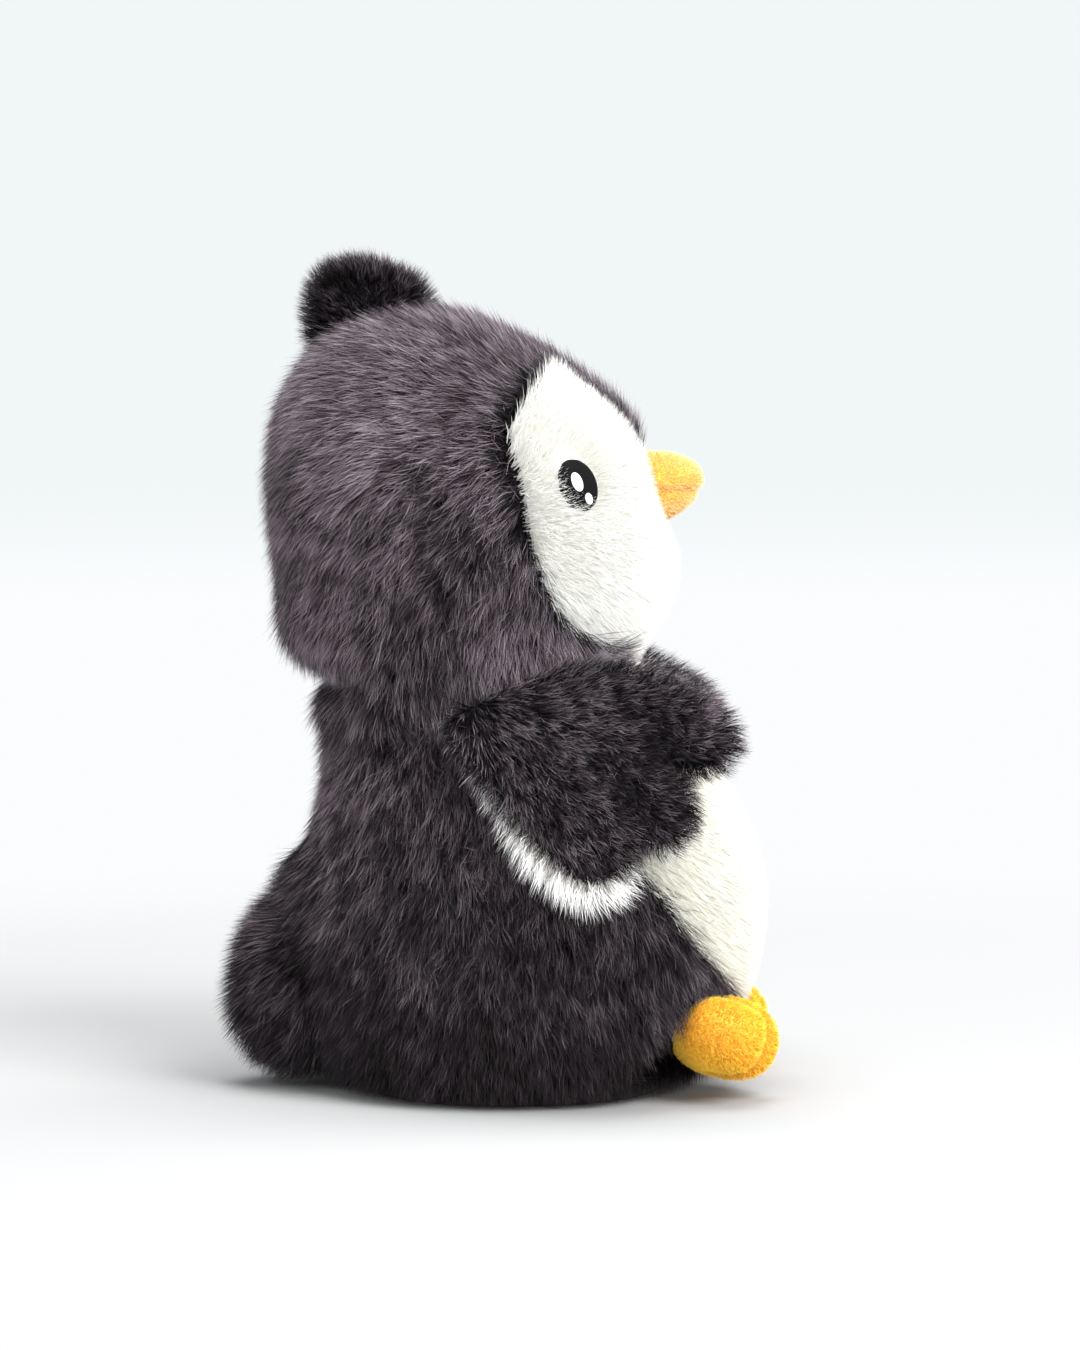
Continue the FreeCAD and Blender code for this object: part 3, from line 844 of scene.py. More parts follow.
    def sown(self, sketch: Sketch, points: object, turn: object) -> bpy.types.NodeSocket:
        """One strand on each root, of a kind and a length drawn at random.

        Args:
            sketch: The node tree that is being filled.
            points: The output socket of the roots.
            turn: The output socket of the strands' rotation.

        Returns:
            The strands as real geometry.
        """
        length = sketch.math("MULTIPLY", self.named(sketch, "trim", "FLOAT"),
                             self.random(sketch, 8, self.coat.short, 1.0))
        strands = sketch.add("GeometryNodeCollectionInfo",
                             {"Collection": self.coat.blades(), "Separate Children": True,
                              "Reset Children": True})
        kind = sketch.add("FunctionNodeRandomValue",
                          {"Min": 0, "Max": BLADE_KINDS - 1, "Seed": self.seed + 9}, data_type="INT")
        chosen = [socket for socket in kind.outputs if socket.enabled][0]
        sown = sketch.add("GeometryNodeInstanceOnPoints",
                          {"Points": points, "Instance": strands.outputs[0], "Pick Instance": True,
                           "Instance Index": chosen, "Rotation": turn, "Scale": length})
        return sketch.add("GeometryNodeRealizeInstances", {"Geometry": sown.outputs[0]}).outputs[0]

    def gathered(self, sketch: Sketch, strands: object, place: object) -> bpy.types.NodeSocket:
        """The strands with their tips drawn to their locks, and kept off the floor.

        Args:
            sketch: The node tree that is being filled.
            strands: The output socket of the strands.
            place: The output socket of the points' places.

        Returns:
            The moved strands.
        """
        late = sketch.math("POWER", self.named(sketch, "along", "FLOAT"), GATHER_POWER)
        share = sketch.math("MULTIPLY", late, self.coat.lock_draw)
        drawn = sketch.scaled(self.named(sketch, "draw", "FLOAT_VECTOR"), share)
        gathered = sketch.add("GeometryNodeSetPosition", {"Geometry": strands, "Offset": drawn}).outputs[0]
        parts = sketch.add("ShaderNodeSeparateXYZ", {"Vector": place})
        above = sketch.math("MAXIMUM", parts.outputs[2], FLOOR_GAP * MM)
        rested = sketch.add("ShaderNodeCombineXYZ",
                            {"X": parts.outputs[0], "Y": parts.outputs[1], "Z": above}).outputs[0]
        return sketch.add("GeometryNodeSetPosition", {"Geometry": gathered, "Position": rested}).outputs[0]

    def dressed(self, sketch: Sketch, strands: object) -> bpy.types.NodeSocket:
        """The strands with their palette map, their material and smooth shading.

        Args:
            sketch: The node tree that is being filled.
            strands: The output socket of the strands.

        Returns:
            The finished pile.
        """
        up = sketch.math("MULTIPLY_ADD", self.named(sketch, "along", "FLOAT"), 0.96, 0.02)
        corner = sketch.add("ShaderNodeCombineXYZ", {"X": self.across(sketch), "Y": up}).outputs[0]
        mapped = self.store(sketch, strands, PALETTE_MAP, corner, "FLOAT2", "CORNER")
        dressed = sketch.add("GeometryNodeSetMaterial",
                             {"Geometry": mapped, "Material": self.coat.finish.material()}).outputs[0]
        return sketch.add("GeometryNodeSetShadeSmooth", {"Geometry": dressed}).outputs[0]

    def across(self, sketch: Sketch) -> bpy.types.NodeSocket:
        """A strand's tint with a small width across it, so that no face of its map is a line.

        Args:
            sketch: The node tree that is being filled.

        Returns:
            Where across the palette each corner of a strand lies.
        """
        index = sketch.add("GeometryNodeInputIndex").outputs[0]
        edge = sketch.math("MODULO", index, 2.0)
        wide = sketch.math("MULTIPLY", edge, 1.0 / 64.0)
        kept = sketch.math("MULTIPLY_ADD", self.named(sketch, "tint", "FLOAT"), 0.94, 0.02)
        return sketch.math("ADD", kept, wide)

    def store(self, sketch: Sketch, geometry: object, name: str, value: object, sort: str,
              domain: str = "POINT") -> bpy.types.NodeSocket:
        """Write an attribute onto a geometry.

        Args:
            sketch: The node tree that is being filled.
            geometry: The output socket of the geometry.
            name: The attribute's name.
            value: The output socket of its values.
            sort: Its data type.
            domain: Where it is kept.

        Returns:
            The geometry with the attribute.
        """
        values = {"Geometry": geometry, "Name": name, "Value": value}
        node = sketch.add("GeometryNodeStoreNamedAttribute", values, data_type=sort, domain=domain)
        return node.outputs[0]

    def named(self, sketch: Sketch, name: str, sort: str) -> bpy.types.NodeSocket:
        """An attribute that the form or the strand carries."""
        node = sketch.add("GeometryNodeInputNamedAttribute", {"Name": name}, data_type=sort)
        return [socket for socket in node.outputs if socket.enabled][0]

    def random(self, sketch: Sketch, salt: int, low: float, high: float,
               key: object = None) -> bpy.types.NodeSocket:
        """A seeded random number for each strand, or for each lock when its number is the key.

        Args:
            sketch: The node tree that is being filled.
            salt: Keeps this number's draws apart from the others.
            low: The smallest value.
            high: The largest value.
            key: The lock's number, when all of a lock's strands share the value.

        Returns:
            The random number.
        """
        values = {"Min": low, "Max": high, "Seed": self.seed + salt}
        if key is not None:
            values["ID"] = key
        node = sketch.add("FunctionNodeRandomValue", values, data_type="FLOAT")
        return [socket for socket in node.outputs if socket.enabled][0]

    def random_vector(self, sketch: Sketch, salt: int, size: float,
                      key: object = None) -> bpy.types.NodeSocket:
        """A seeded random direction of up to a size, for each strand or for each lock.

        Args:
            sketch: The node tree that is being filled.
            salt: Keeps this direction's draws apart from the others.
            size: The largest value of each of its parts.
            key: The lock's number, when all of a lock's strands share the direction.

        Returns:
            The random direction.
        """
        values = {"Min": (-size,) * 3, "Max": (size,) * 3, "Seed": self.seed + salt}
        if key is not None:
            values["ID"] = key
        node = sketch.add("FunctionNodeRandomValue", values, data_type="FLOAT_VECTOR")
        return [socket for socket in node.outputs if socket.enabled][0]

    def grow(self, name: str, cloth: bpy.types.Object, reach: FieldRule, comb: FieldRule,
             trim: FieldRule | None = None, tone: FieldRule | None = None) -> bpy.types.Object:
        """Grow one panel's pile.

        Args:
            name: The new piece's name.
            cloth: The form that the strands root in.
            reach: Gives how far inside the panel each point lies, in millimetres.
            comb: Gives the direction that the pile is combed in.
            trim: Gives the share of the coat's length that the pile has.
            tone: Gives how much lighter or darker than the coat's own tint the strands are, mostly painted
                light and shade.

        Returns:
            The pile as one plain mesh object at the origin.
        """
        seed_mesh = cloth.data.copy()
        count = len(seed_mesh.vertices)
        places, normals = np.empty(count * 3), np.empty(count * 3)
        seed_mesh.vertices.foreach_get("co", places)
        seed_mesh.vertices.foreach_get("normal", normals)
        places, normals = places.reshape(-1, 3) / MM, normals.reshape(-1, 3)
        lengths = np.ones(count) if trim is None else trim(places, normals)
        tones_and_painted_light = np.zeros(count) if tone is None else tone(places, normals)
        for label, values in (("reach", reach(places, normals)), ("trim", lengths), ("tone", tones_and_painted_light)):
            layer = seed_mesh.attributes.new(label, "FLOAT", "POINT")
            layer.data.foreach_set("value", values.astype(np.float32))
        directions = unit(comb(places, normals)).astype(np.float32)
        layer = seed_mesh.attributes.new("comb", "FLOAT_VECTOR", "POINT")
        layer.data.foreach_set("vector", directions.ravel())
        bed = bpy.data.objects.new(name, seed_mesh)
        bpy.context.scene.collection.objects.link(bed)
        bed.modifiers.new("pile", "NODES").node_group = self.tree()
        graph = bpy.context.evaluated_depsgraph_get()
        grown = bpy.data.meshes.new_from_object(bed.evaluated_get(graph), preserve_all_data_layers=True,
                                                depsgraph=graph)
        bpy.data.objects.remove(bed)
        for label in ("comb", "reach", "trim", "tone", "draw", "tint", "along", "up"):
            layer = grown.attributes.get(label)
            if layer:
                grown.attributes.remove(layer)
        grown.name = name
        pile = bpy.data.objects.new(name, grown)
        bpy.context.scene.collection.objects.link(pile)
        return pile


DARK_COAT = Coat(DARK_PILE, length=10.4, width=0.17, root_lean=26.0, tip_lean=78.0, density=10.8,
                 lock_density=0.9, lock_draw=0.8, stray=0.2, fly=1.2, wave=0.75, wave_size=11.5)
CREST_COAT = Coat(DARK_PILE, length=6.8, width=0.17, root_lean=14.0, tip_lean=56.0, density=12.0,
                  lock_density=0.9, lock_draw=0.7, lock_stray=0.45, stray=0.25)
WING_COAT = Coat(DARK_PILE, length=6.6, width=0.17, root_lean=26.0, tip_lean=76.0, density=12.0,
                 lock_density=0.9, lock_draw=0.75, stray=0.25, wave=0.6)
CREAM_COAT = Coat(CREAM_PILE, length=6.2, width=0.24, root_lean=4.0, tip_lean=34.0, density=9.0,
                  short=0.9, lock_density=1.2, lock_draw=0.2, lock_stray=0.08, stray=0.18, fly=0.4, wave=0.2,
                  ragged=1.3)
BELLY_COAT = replace(CREAM_COAT, finish=BELLY_PILE, density=8.4)
FRINGE_COAT = Coat(FRINGE_PILE, length=9.0, width=0.20, root_lean=22.0, tip_lean=60.0, density=12.0,
                   short=0.65, lock_density=0.8, lock_draw=0.25, lock_stray=0.35, stray=0.35)
VELOUR_COAT = Coat(FOOT_PILE, length=1.3, width=0.24, root_lean=14.0, tip_lean=60.0, density=12.0,
                   lock_density=1.2, lock_draw=0.4, lock_stray=0.25, stray=0.25, fly=0.3, wave=0.9,
                   wave_size=5.0, ragged=0.3)
BEAK_COAT = Coat(BEAK_PILE, length=1.1, width=0.17, root_lean=14.0, tip_lean=60.0, density=22.0,
                 lock_density=1.4, lock_draw=0.4, lock_stray=0.25, stray=0.25, fly=0.3, wave=0.7,
                 wave_size=4.0, ragged=0.2)


# ---------------------------------------------------------------- the sub-assemblies


@dataclass
class Torso:
    """The seated body: back panels, belly panel, base panel and the bean bag in the seat."""

    sections: tuple[tuple[float, float, float, float], ...] = (
        (0.0, -32.0, 35.0, 36.5), (4.0, -38.5, 39.5, 42.0), (12.0, -46.0, 43.5, 47.0),
        (22.0, -49.8, 46.5, 49.5), (34.0, -52.3, 48.0, 50.0), (46.0, -52.3, 48.0, 49.0),
        (58.0, -48.8, 45.0, 45.6), (70.0, -42.0, 42.6, 41.2), (80.0, -34.0, 43.0, 36.6),
        (90.0, -27.0, 43.0, 33.0), (100.0, -22.0, 42.0, 30.0))
    belly_edge: tuple[tuple[float, float], ...] = (
        (0.0, 19.5), (14.0, 22.0), (26.0, 29.7), (33.0, 38.0), (37.0, 50.4), (37.8, 64.0), (34.5, 78.0),
        (29.0, 100.0))
    pile_depth: float = 5.6
    foot_centre: tuple[float, float] = (23.0, 14.0)     # x and height where a foot leaves the body
    foot_half: tuple[float, float] = (11.5, 5.5)
    tail_centre: tuple[float, float] = (44.6, 24.4)     # y and height of the tail's hinge
    tail_room: float = 12.0
    skirt: float = 30.0                                 # height below which its pile spreads
    overhang: tuple[float, float, float] = (41.0, 9.0, 19.0)    # over the tail: height, half height, half width
    waist: float = 42.0                                 # height that parts the back's upper and lower pile
    hem: tuple[tuple[float, float], ...] = (            # height, and how far inside the seat's outline
        (0.6, 7.0), (0.0, 5.0), (0.0, 1.5), (0.5, 0.4), (1.3, 0.4), (1.8, 1.5), (1.8, 5.0))

    def form(self) -> bmesh.types.BMesh:
        """The stuffed cloth form under the pile.

        Returns:
            The form, with a flat seat and a cut at the neck.
        """
        form = oval_form(self.sections)
        inset(form, self.pile_depth)
        cut_at_neck(form, keep_above=False, gap=-0.2)
        for vertex in form.verts:
            vertex.co.z = max(vertex.co.z, 1.2 * MM)
        return form

    def belly_reach(self, places: Array) -> Array:
        """How far inside the belly panel each point lies.

        Args:
            places: Points to measure, in millimetres.

        Returns:
            Distances inside the panel's edge, negative outside it.
        """
        edge = smooth_line(self.belly_edge, 6)
        flat = np.stack([np.abs(places[:, 0]), places[:, 2]], axis=1)
        inside = signed_reach(flat, edge)
        return np.where(places[:, 1] < 0.0, inside, -FAR)

    def clear_of_limbs(self, places: Array) -> Array:
        """How far each point lies from where the feet and the tail are sewn in, and below the neck.

        Args:
            places: Points to measure, in millimetres.

        Returns:
            The smallest of these distances.
        """
        x, y, z = places.T
        sides = np.abs(np.abs(x) - self.foot_centre[0]) - self.foot_half[0]
        tall = np.abs(z - self.foot_centre[1]) - self.foot_half[1]
        feet = np.where(y < 0.0, np.maximum(sides, tall), FAR)
        round_tail = np.hypot(y - self.tail_centre[0], z - self.tail_centre[1]) - self.tail_room
        tail = np.where(y > 0.0, np.maximum(round_tail, np.abs(x) - 13.0), FAR)
        return np.minimum(np.minimum(feet, tail), below_neck(places) - 1.0)

    def belly_rule(self, places: Array, _: Array) -> Array:
        """How far inside the belly's pile each point lies."""
        return np.minimum(self.belly_reach(places), self.clear_of_limbs(places))

    def comb(self, places: Array, normals: Array) -> Array:
        """Straight down, leaning forwards over the feet and outwards near the floor.

        Args:
            places: Points to measure, in millimetres.
            normals: The form's normals there.

        Returns:
            The combed direction at each point.
        """
        x, y, z = places.T
        low = np.clip((self.skirt - z) / self.skirt, 0.0, 1.0)
        flow = np.stack([0.15 * np.sign(x) * low, -0.35 * low * (y < 10.0), -np.ones(len(x))], axis=1)
        return flow + (0.35 * low + 1.1 * self.over_tail(places))[:, None] * normals

    def over_tail(self, places: Array) -> Array:
        """From 0 to 1 on the back just above the tail, where the pile stands out over it.

        Args:
            places: Points to measure, in millimetres.

        Returns:
            The share for each point.
        """
        x, y, z = places.T
        height, half_height, half_width = self.overhang
        near = np.exp(-((z - height) / half_height) ** 2 - (x / half_width) ** 2)
        return near * (y > 10.0)

    def tone(self, places: Array, _: Array) -> Array:
        """Painted shade: darker towards the seat, with a painted shadow in the fold under the head.

        Args:
            places: Points to measure, in millimetres.
            _: Not used.

        Returns:
            What is added to each strand's tint.
        """
        below = np.clip(below_neck(places), 0.0, 60.0)
        # painted shadow under the head's overhang, just below the neck seam
        fold = 0.5 * np.exp(-below / 5.0) * (places[:, 1] < 34.0)
        return np.interp(places[:, 2], (8.0, 30.0, 62.0), (-0.9, -0.64, -0.02)) - fold

    def trim(self, places: Array, normals: Array) -> Array:
        """Pile length: shorter at the floor and under the head, longer over the tail.

        Args:
            places: Points to measure, in millimetres.
            normals: Not used.

        Returns:
            Shares of the coat's length.
        """
        round_seat = np.arctan2(places[:, 1], places[:, 0])
        uneven = 1.0 + 0.16 * np.sin(7.0 * round_seat + 1.0) + 0.12 * np.sin(17.0 * round_seat)
        floor = np.clip(0.5 * uneven + places[:, 2] / 14.0, 0.4, 1.0)
        under_head = np.interp(below_neck(places), (2.0, 14.0), (0.6, 1.0))
        neck = np.where(places[:, 1] > 28.0, 1.0, under_head)
        return np.minimum(floor, neck) + 0.45 * self.over_tail(places)

    def build(self) -> None:
        """Make the body's pieces."""
        cloth = finished(self.form(), "body_cloth_form", DARK_BACKING)
        cloth.data.materials.append(CREAM_BACKING.material())
        for face in cloth.data.polygons:
            centre = np.array(face.center)[None] / MM
            face.material_index = 1 if self.belly_reach(centre)[0] > 0.0 else 0
        for side in Side:
            for part, low, high in (("upper", self.waist, 200.0), ("lower", -10.0, self.waist)):
                def reach(places: Array, _: Array, side: Side = side, low: float = low,
                          high: float = high) -> Array:
                    """How far inside one back pile each point lies, in millimetres.

                    Args:
                        places: Points to measure, in millimetres.
                        _: Not used.
                        side: Which half of the back.
                        low: The band's lowest height.
                        high: The band's highest height.

                    Returns:
                        Distances inside it, negative outside.
                    """
                    band = np.minimum(places[:, 2] - low, high - places[:, 2])
                    half = np.minimum(places[:, 0] * side.value, band)
                    panel = np.minimum(half, -self.belly_reach(places))
                    return np.minimum(panel, self.clear_of_limbs(places))

                grower = PileGrower(DARK_COAT, seed=100 + 20 * int(side.value) + int(low > 0.0) * 7)
                name = f"back_pile_{part}_{side.word}"
                pile = grower.grow(name, cloth, reach, self.comb, self.trim, self.tone)
                settle(pile, "torso", [f"body_back_panel_{side.word}"])
        grower = PileGrower(BELLY_COAT, seed=170)
        belly = grower.grow("belly_pile", cloth, self.belly_rule, self.comb)
        settle(belly, "torso", ["belly_panel"])
        settle(cloth, "torso", ["body_stuffing"])
        self.build_base()

    def build_base(self) -> None:
        """The flat base panel with its turned hem."""
        _, front, back, half = self.sections[0]
        loops = []
        for height, inside in self.hem:
            loops.append(oval_loop(front + inside, back - inside, half - inside, height, 96))
        base = finished(loft(loops), "base_cloth", DARK_BACKING)
        settle(base, "torso", ["base_panel"])


@dataclass
class Head:
    """The head: face panels, side panels, the centre panel from the beak over the crown, and the crest."""

    sections: tuple[tuple[float, float, float, float], ...] = (
        (72.0, -19.0, 41.0, 29.0), (83.0, -23.0, 45.0, 33.5), (94.0, -27.5, 49.2, 39.5),
        (104.0, -33.0, 51.3, 43.8), (114.0, -34.2, 53.0, 46.0), (124.0, -33.0, 53.8, 46.5),
        (134.0, -30.2, 53.6, 44.5), (144.0, -23.2, 51.6, 39.5), (152.0, -13.4, 47.5, 33.0),
        (158.0, -3.4, 42.5, 26.0), (162.5, 6.0, 35.5, 17.5), (164.6, 12.0, 29.0, 10.0),
        (165.4, 17.5, 23.5, 3.5))
    face_edge: tuple[tuple[float, float], ...] = (
        (-24.0, 151.0), (-11.5, 149.2), (-4.0, 146.0), (0.8, 140.0), (1.8, 135.5), (-0.2, 128.0),
        (-1.6, 118.5), (-4.2, 109.3), (-8.3, 101.2), (-13.0, 96.5), (-20.0, 92.0))
    peak: tuple[tuple[float, float], ...] = ((130.0, 4.0), (141.0, 8.0), (152.0, 13.0), (200.0, 13.0))
    pulls: tuple[Pull, ...] = (
        ((0.0, 48.0, 98.0), 9.0, (0.0, 1.5, 0.0)),
        ((-30.0, 28.0, 86.0), 11.0, (-5.0, 3.0, -1.0)), ((30.0, 28.0, 86.0), 11.0, (5.0, 3.0, -1.0)))
    fold_height: float = 89.5           # the fold across the nape, over the hump of the neck
    fold_depth: float = 5.0
    fold_half: float = 5.0
    pile_depth: float = 5.6
    beak_centre: tuple[float, float, float] = (0.0, -30.0, 127.0)
    beak_half: tuple[float, float] = (8.6, 7.6)

    def form(self) -> bmesh.types.BMesh:
        """The stuffed cloth form under the pile.

        Returns:
            The form, with a fold at the nape and a cut at the neck.
        """
        form = oval_form(self.sections)
        inset(form, self.pile_depth)
        pull(form, self.pulls)
        for vertex in form.verts:
            spot = vertex.co / MM
            vertex.co.y -= self.fold_depth * float(self.in_fold(np.array([spot]))[0]) * MM
        cut_at_neck(form, keep_above=True, gap=0.2)
        return form

    def in_fold(self, places: Array) -> Array:
        """From 0 to 1 in the fold across the nape."""
        behind = np.clip((places[:, 1] - 20.0) / 16.0, 0.0, 1.0)
        return behind * np.exp(-((places[:, 2] - self.fold_height) / self.fold_half) ** 2)

    def face_reach(self, places: Array) -> Array:
        """How far forward of the face's side edges each point lies."""
        return -signed_reach(places[:, 1:], smooth_line(self.face_edge, 6))

    def centre_reach(self, places: Array) -> Array:
        """How far inside the centre panel each point lies.

        Args:
            places: Points to measure, in millimetres.

        Returns:
            Distances inside the panel's edge, negative outside it.
        """
        x, y, z = np.abs(places[:, 0]), places[:, 1], places[:, 2]
        heights, halves = zip(*self.peak)
        front = np.minimum(np.interp(z, heights, halves) - x, z - heights[0])
        nape = np.where(y > 10.0, halves[-1] - x, -FAR)
        return np.maximum(front, nape)

    def crown_rule(self, places: Array, _: Array) -> Array:
        """How far inside the centre panel's pile each point lies."""
        return np.minimum(self.centre_reach(places), self.beak_reach(places))

    def beak_reach(self, places: Array) -> Array:
        """How far outside the beak's seam each point lies.

        Args:
            places: Points to measure, in millimetres.

        Returns:
            Distances outside the seam, negative inside it.
        """
        across = places[:, 0] / self.beak_half[0]
        up = (places[:, 2] - self.beak_centre[2]) / self.beak_half[1]
        return np.where(places[:, 1] < 0.0, (np.hypot(across, up) - 1.0) * self.beak_half[1], FAR)

    def comb(self, places: Array, normals: Array) -> Array:
        """Back over the crown and down the nape, turning from backwards to downwards on the sides.

        Args:
            places: Points to measure, in millimetres.
            normals: The form's normals there.

        Returns:
            The combed direction at each point.
        """
        over = np.cross(normals, np.array([1.0, 0.0, 0.0]))
        turn = np.radians(np.interp(places[:, 2], (96.0, 112.0, 128.0, 150.0), (84.0, 68.0, 40.0, 6.0)))
        side = np.stack([np.zeros(len(turn)), np.cos(turn), -np.sin(turn)], axis=1)
        weight = np.abs(normals[:, :1]) ** 1.5
        return over * (1.0 - weight) + side * weight

    def face_comb(self, places: Array, _: Array) -> Array:
        """Outwards from the beak, falling a little."""
        flow = unit(places - np.array(self.beak_centre))
        return flow + np.array([0.0, 0.0, -0.35])

    def face_trim(self, places: Array, _: Array) -> Array:
        """Face pile length: clipped round the beak and the eyes.

        Args:
            places: Points to measure, in millimetres.
            _: Not used.

        Returns:
            Shares of the coat's length.
        """
        away = np.minimum(self.beak_reach(places), 1.5 - self.centre_reach(places))
        lashes = 0.76 + EYES.reach(places) / 14.0
        brow = 0.4 * np.exp(-np.clip(self.face_reach(places), 0.0, 30.0) / 2.5) * (places[:, 2] > 104.0)
        return np.clip(np.minimum(0.66 + away / 16.0, lashes), 0.6, 1.0) + brow

    def build(self) -> None:
        """Make the head's own pieces."""
        cloth = finished(self.form(), "head_cloth_form", DARK_BACKING)
        cloth.data.materials.append(CREAM_BACKING.material())
        centres = np.array([face.center for face in cloth.data.polygons]) / MM
        cream = np.minimum(self.face_reach(centres), -self.centre_reach(centres)) > 0.0
        cloth.data.polygons.foreach_set("material_index", cream.astype(np.int32))

        centre = PileGrower(DARK_COAT, seed=210).grow(
            "crown_pile", cloth, self.crown_rule, self.comb, self.trim, self.tone)
        settle(centre, "head", ["head_gusset"])
        for side in Side:
            def side_reach(places: Array, _: Array, side: Side = side) -> Array:
                """How far inside one side panel's pile each point lies, in millimetres."""
                panel = np.minimum(-self.face_reach(places), -self.centre_reach(places))
                return np.minimum(panel, places[:, 0] * side.value)

            def face_reach(places: Array, _: Array, side: Side = side) -> Array:
                """How far inside one face panel's pile each point lies, in millimetres.

                Args:
                    places: Points to measure, in millimetres.
                    _: Not used.
                    side: Which half of the face.

                Returns:
                    Distances inside it, negative outside.
                """
                panel = np.minimum(self.face_reach(places), -self.centre_reach(places))
                clear = np.minimum(self.beak_reach(places), EYES.reach(places))
                return np.minimum(np.minimum(panel, clear), places[:, 0] * side.value)

            pile = PileGrower(DARK_COAT, seed=240 + 20 * int(side.value)).grow(
                f"head_pile_{side.word}", cloth, side_reach, self.comb, self.trim, self.tone)
            settle(pile, "head", [f"head_side_panel_{side.word}"])
            face = PileGrower(CREAM_COAT, seed=280 + 20 * int(side.value)).grow(
                f"face_pile_{side.word}", cloth, face_reach, self.face_comb, self.face_trim)
            settle(face, "head", [f"face_panel_{side.word}"])
        settle(cloth, "head", ["head_stuffing"])

    def tone(self, places: Array, _: Array) -> Array:
        """Painted light and shade: lighter over the crown and darker towards the neck."""
        return np.interp(places[:, 2], (80.0, 96.0, 120.0, 150.0), (-0.25, -0.08, 0.0, 0.14))

    def trim(self, places: Array, _: Array) -> Array:
        """Dark pile length: shorter down the peak between the eyes, longer along the neck.

        Args:
            places: Points to measure, in millimetres.
            _: Not used.

        Returns:
            Shares of the coat's length.
        """
        x, y, z = places.T
        low = np.interp(z, (128.0, 134.0, 146.0), (0.72, 0.95, 1.0))
        hem = np.interp(z, (94.0, 108.0), (1.2, 1.0)) - 0.35 * self.in_fold(places)
        return np.where((y < -10.0) & (np.abs(x) < 14.0), low, hem)


@dataclass
class Eyes:
    """The two embroidered eyes, each a black satin-stitched oval with two white glints."""

    centre: tuple[float, float, float] = (37.0, -13.6, 127.6)
    turn: float = 37.0
    tilt: float = 17.0
    half: tuple[float, float] = (4.6, 5.3)
    lash: float = 1.4           # how far the face's pile roots inside the eye's rim, behind and below
    clear: float = 1.3          # how far outside it the pile roots in front
    depth: float = 2.2          # below the tips of the pile
    glints: tuple[tuple[float, float, float, float], ...] = ((-0.7, 0.9, 1.35, 2.0), (0.7, -3.1, 0.95, 1.2))
    thread_pitch: float = 0.34
    beyond: float = 30.0        # the reach given to points on the head's other side

    def axes(self, side: Side) -> tuple[Vector, Vector, Vector, Vector]:
        """Centre, outward, across and up directions of one eye.

        Args:
            side: Which eye.

        Returns:
            The eye's centre in millimetres and its three directions.
        """
        turn, tilt = math.radians(self.turn), math.radians(self.tilt)
        out = Vector((math.cos(turn), -math.sin(turn), 0.0))
        level = Vector((-math.sin(turn), -math.cos(turn), 0.0))
        across = level * math.cos(tilt) + Vector((0, 0, 1)) * math.sin(tilt)
        up = Vector((0, 0, 1)) * math.cos(tilt) - level * math.sin(tilt)
        centre = Vector(self.centre)
        flip = Vector((side.value, 1.0, 1.0))
        return tuple(vector * flip for vector in (centre, out, across, up))

    def reach(self, places: Array) -> Array:
        """How far outside both eyes each point lies.

        Args:
            places: Points to measure, in millimetres.

        Returns:
            Distances outside the nearer eye's rim, negative inside it.
        """
        nearest = np.full(len(places), self.beyond)
        for side in Side:
            centre, out, across, up = (np.array(v) for v in self.axes(side))
            offset = places - centre
            wide, tall = offset @ across, offset @ up
            ratio = np.hypot(wide / self.half[0], tall / self.half[1])
            slant = (0.7 * wide / self.half[0] + 0.5 * tall / self.half[1]) / np.maximum(ratio, 1e-6)
            behind = np.clip(0.4 - slant, 0.0, 1.0)
            rim = (ratio - 1.0) * self.half[0] + behind * (self.lash + self.clear) - self.clear
            gap = np.where(offset @ out > -14.0, rim, self.beyond)
            nearest = np.minimum(nearest, gap)
        return nearest

    def patch(self, side: Side, spot: tuple[float, float, float, float], lift: float, crown: float,
              surface: Callable[[Vector, Vector], Vector]) -> bmesh.types.BMesh:
        """One stitched oval laid on the face.

        Args:
            side: Which eye.
            spot: Place across and up on the eye, and the oval's half sizes.
            lift: Height of its rim above the eye's bed.
            crown: How much its middle rises above the rim.
            surface: Gives the bed's point under a point, looking along a direction.

        Returns:
            The oval, its stitches as ridges across it.
        """
        centre, out, across, up = self.axes(side)
        wide, tall, half_wide, half_tall = spot
        disc = bmesh.new()
        columns, rows = max(12, int(8 * half_wide)), int(14 * half_tall)
        bmesh.ops.create_grid(disc, x_segments=columns, y_segments=rows, size=1.0)
        for vertex in disc.verts:
            a, b = vertex.co.x, vertex.co.y
            vertex.co.x, vertex.co.y = a * math.sqrt(1 - 0.5 * b * b), b * math.sqrt(1 - 0.5 * a * a)
        for vertex in disc.verts:
            a, b = vertex.co.x, vertex.co.y
            edge = max(0.0, 1.0 - a * a - b * b)
            point = centre + across * (wide + half_wide * a) + up * (tall + half_tall * b)
            bed = surface(point, out)
            row = (tall + half_tall * b + 0.12 * half_wide * a * a) / self.thread_pitch
            ridge = 0.07 * abs(math.sin(math.pi * row))
            height = lift + crown * math.sqrt(edge) + ridge * min(1.0, 4.0 * edge)
            vertex.co = (bed + out * height) * MM
        rim = [edge for edge in disc.edges if edge.is_boundary]
        skirt = bmesh.ops.extrude_edge_only(disc, edges=rim)["geom"]
        lowered = [piece for piece in skirt if isinstance(piece, bmesh.types.BMVert)]
        bmesh.ops.translate(disc, verts=lowered, vec=-out * (lift + 0.8) * MM)
        bmesh.ops.recalc_face_normals(disc, faces=disc.faces)
        top = max(disc.faces, key=lambda face: face.calc_center_median().dot(out))
        if top.normal.dot(out) < 0.0:
            bmesh.ops.reverse_faces(disc, faces=disc.faces)
        return disc

    def build(self, head: Head) -> None:
        """Make both eyes and their glints.

        Args:
            head: The head that the eyes are stitched on.
        """
        form = oval_form(head.sections)
        inset(form, self.depth + 0.6)
        tree = BVHTree.FromBMesh(form)
        form.free()

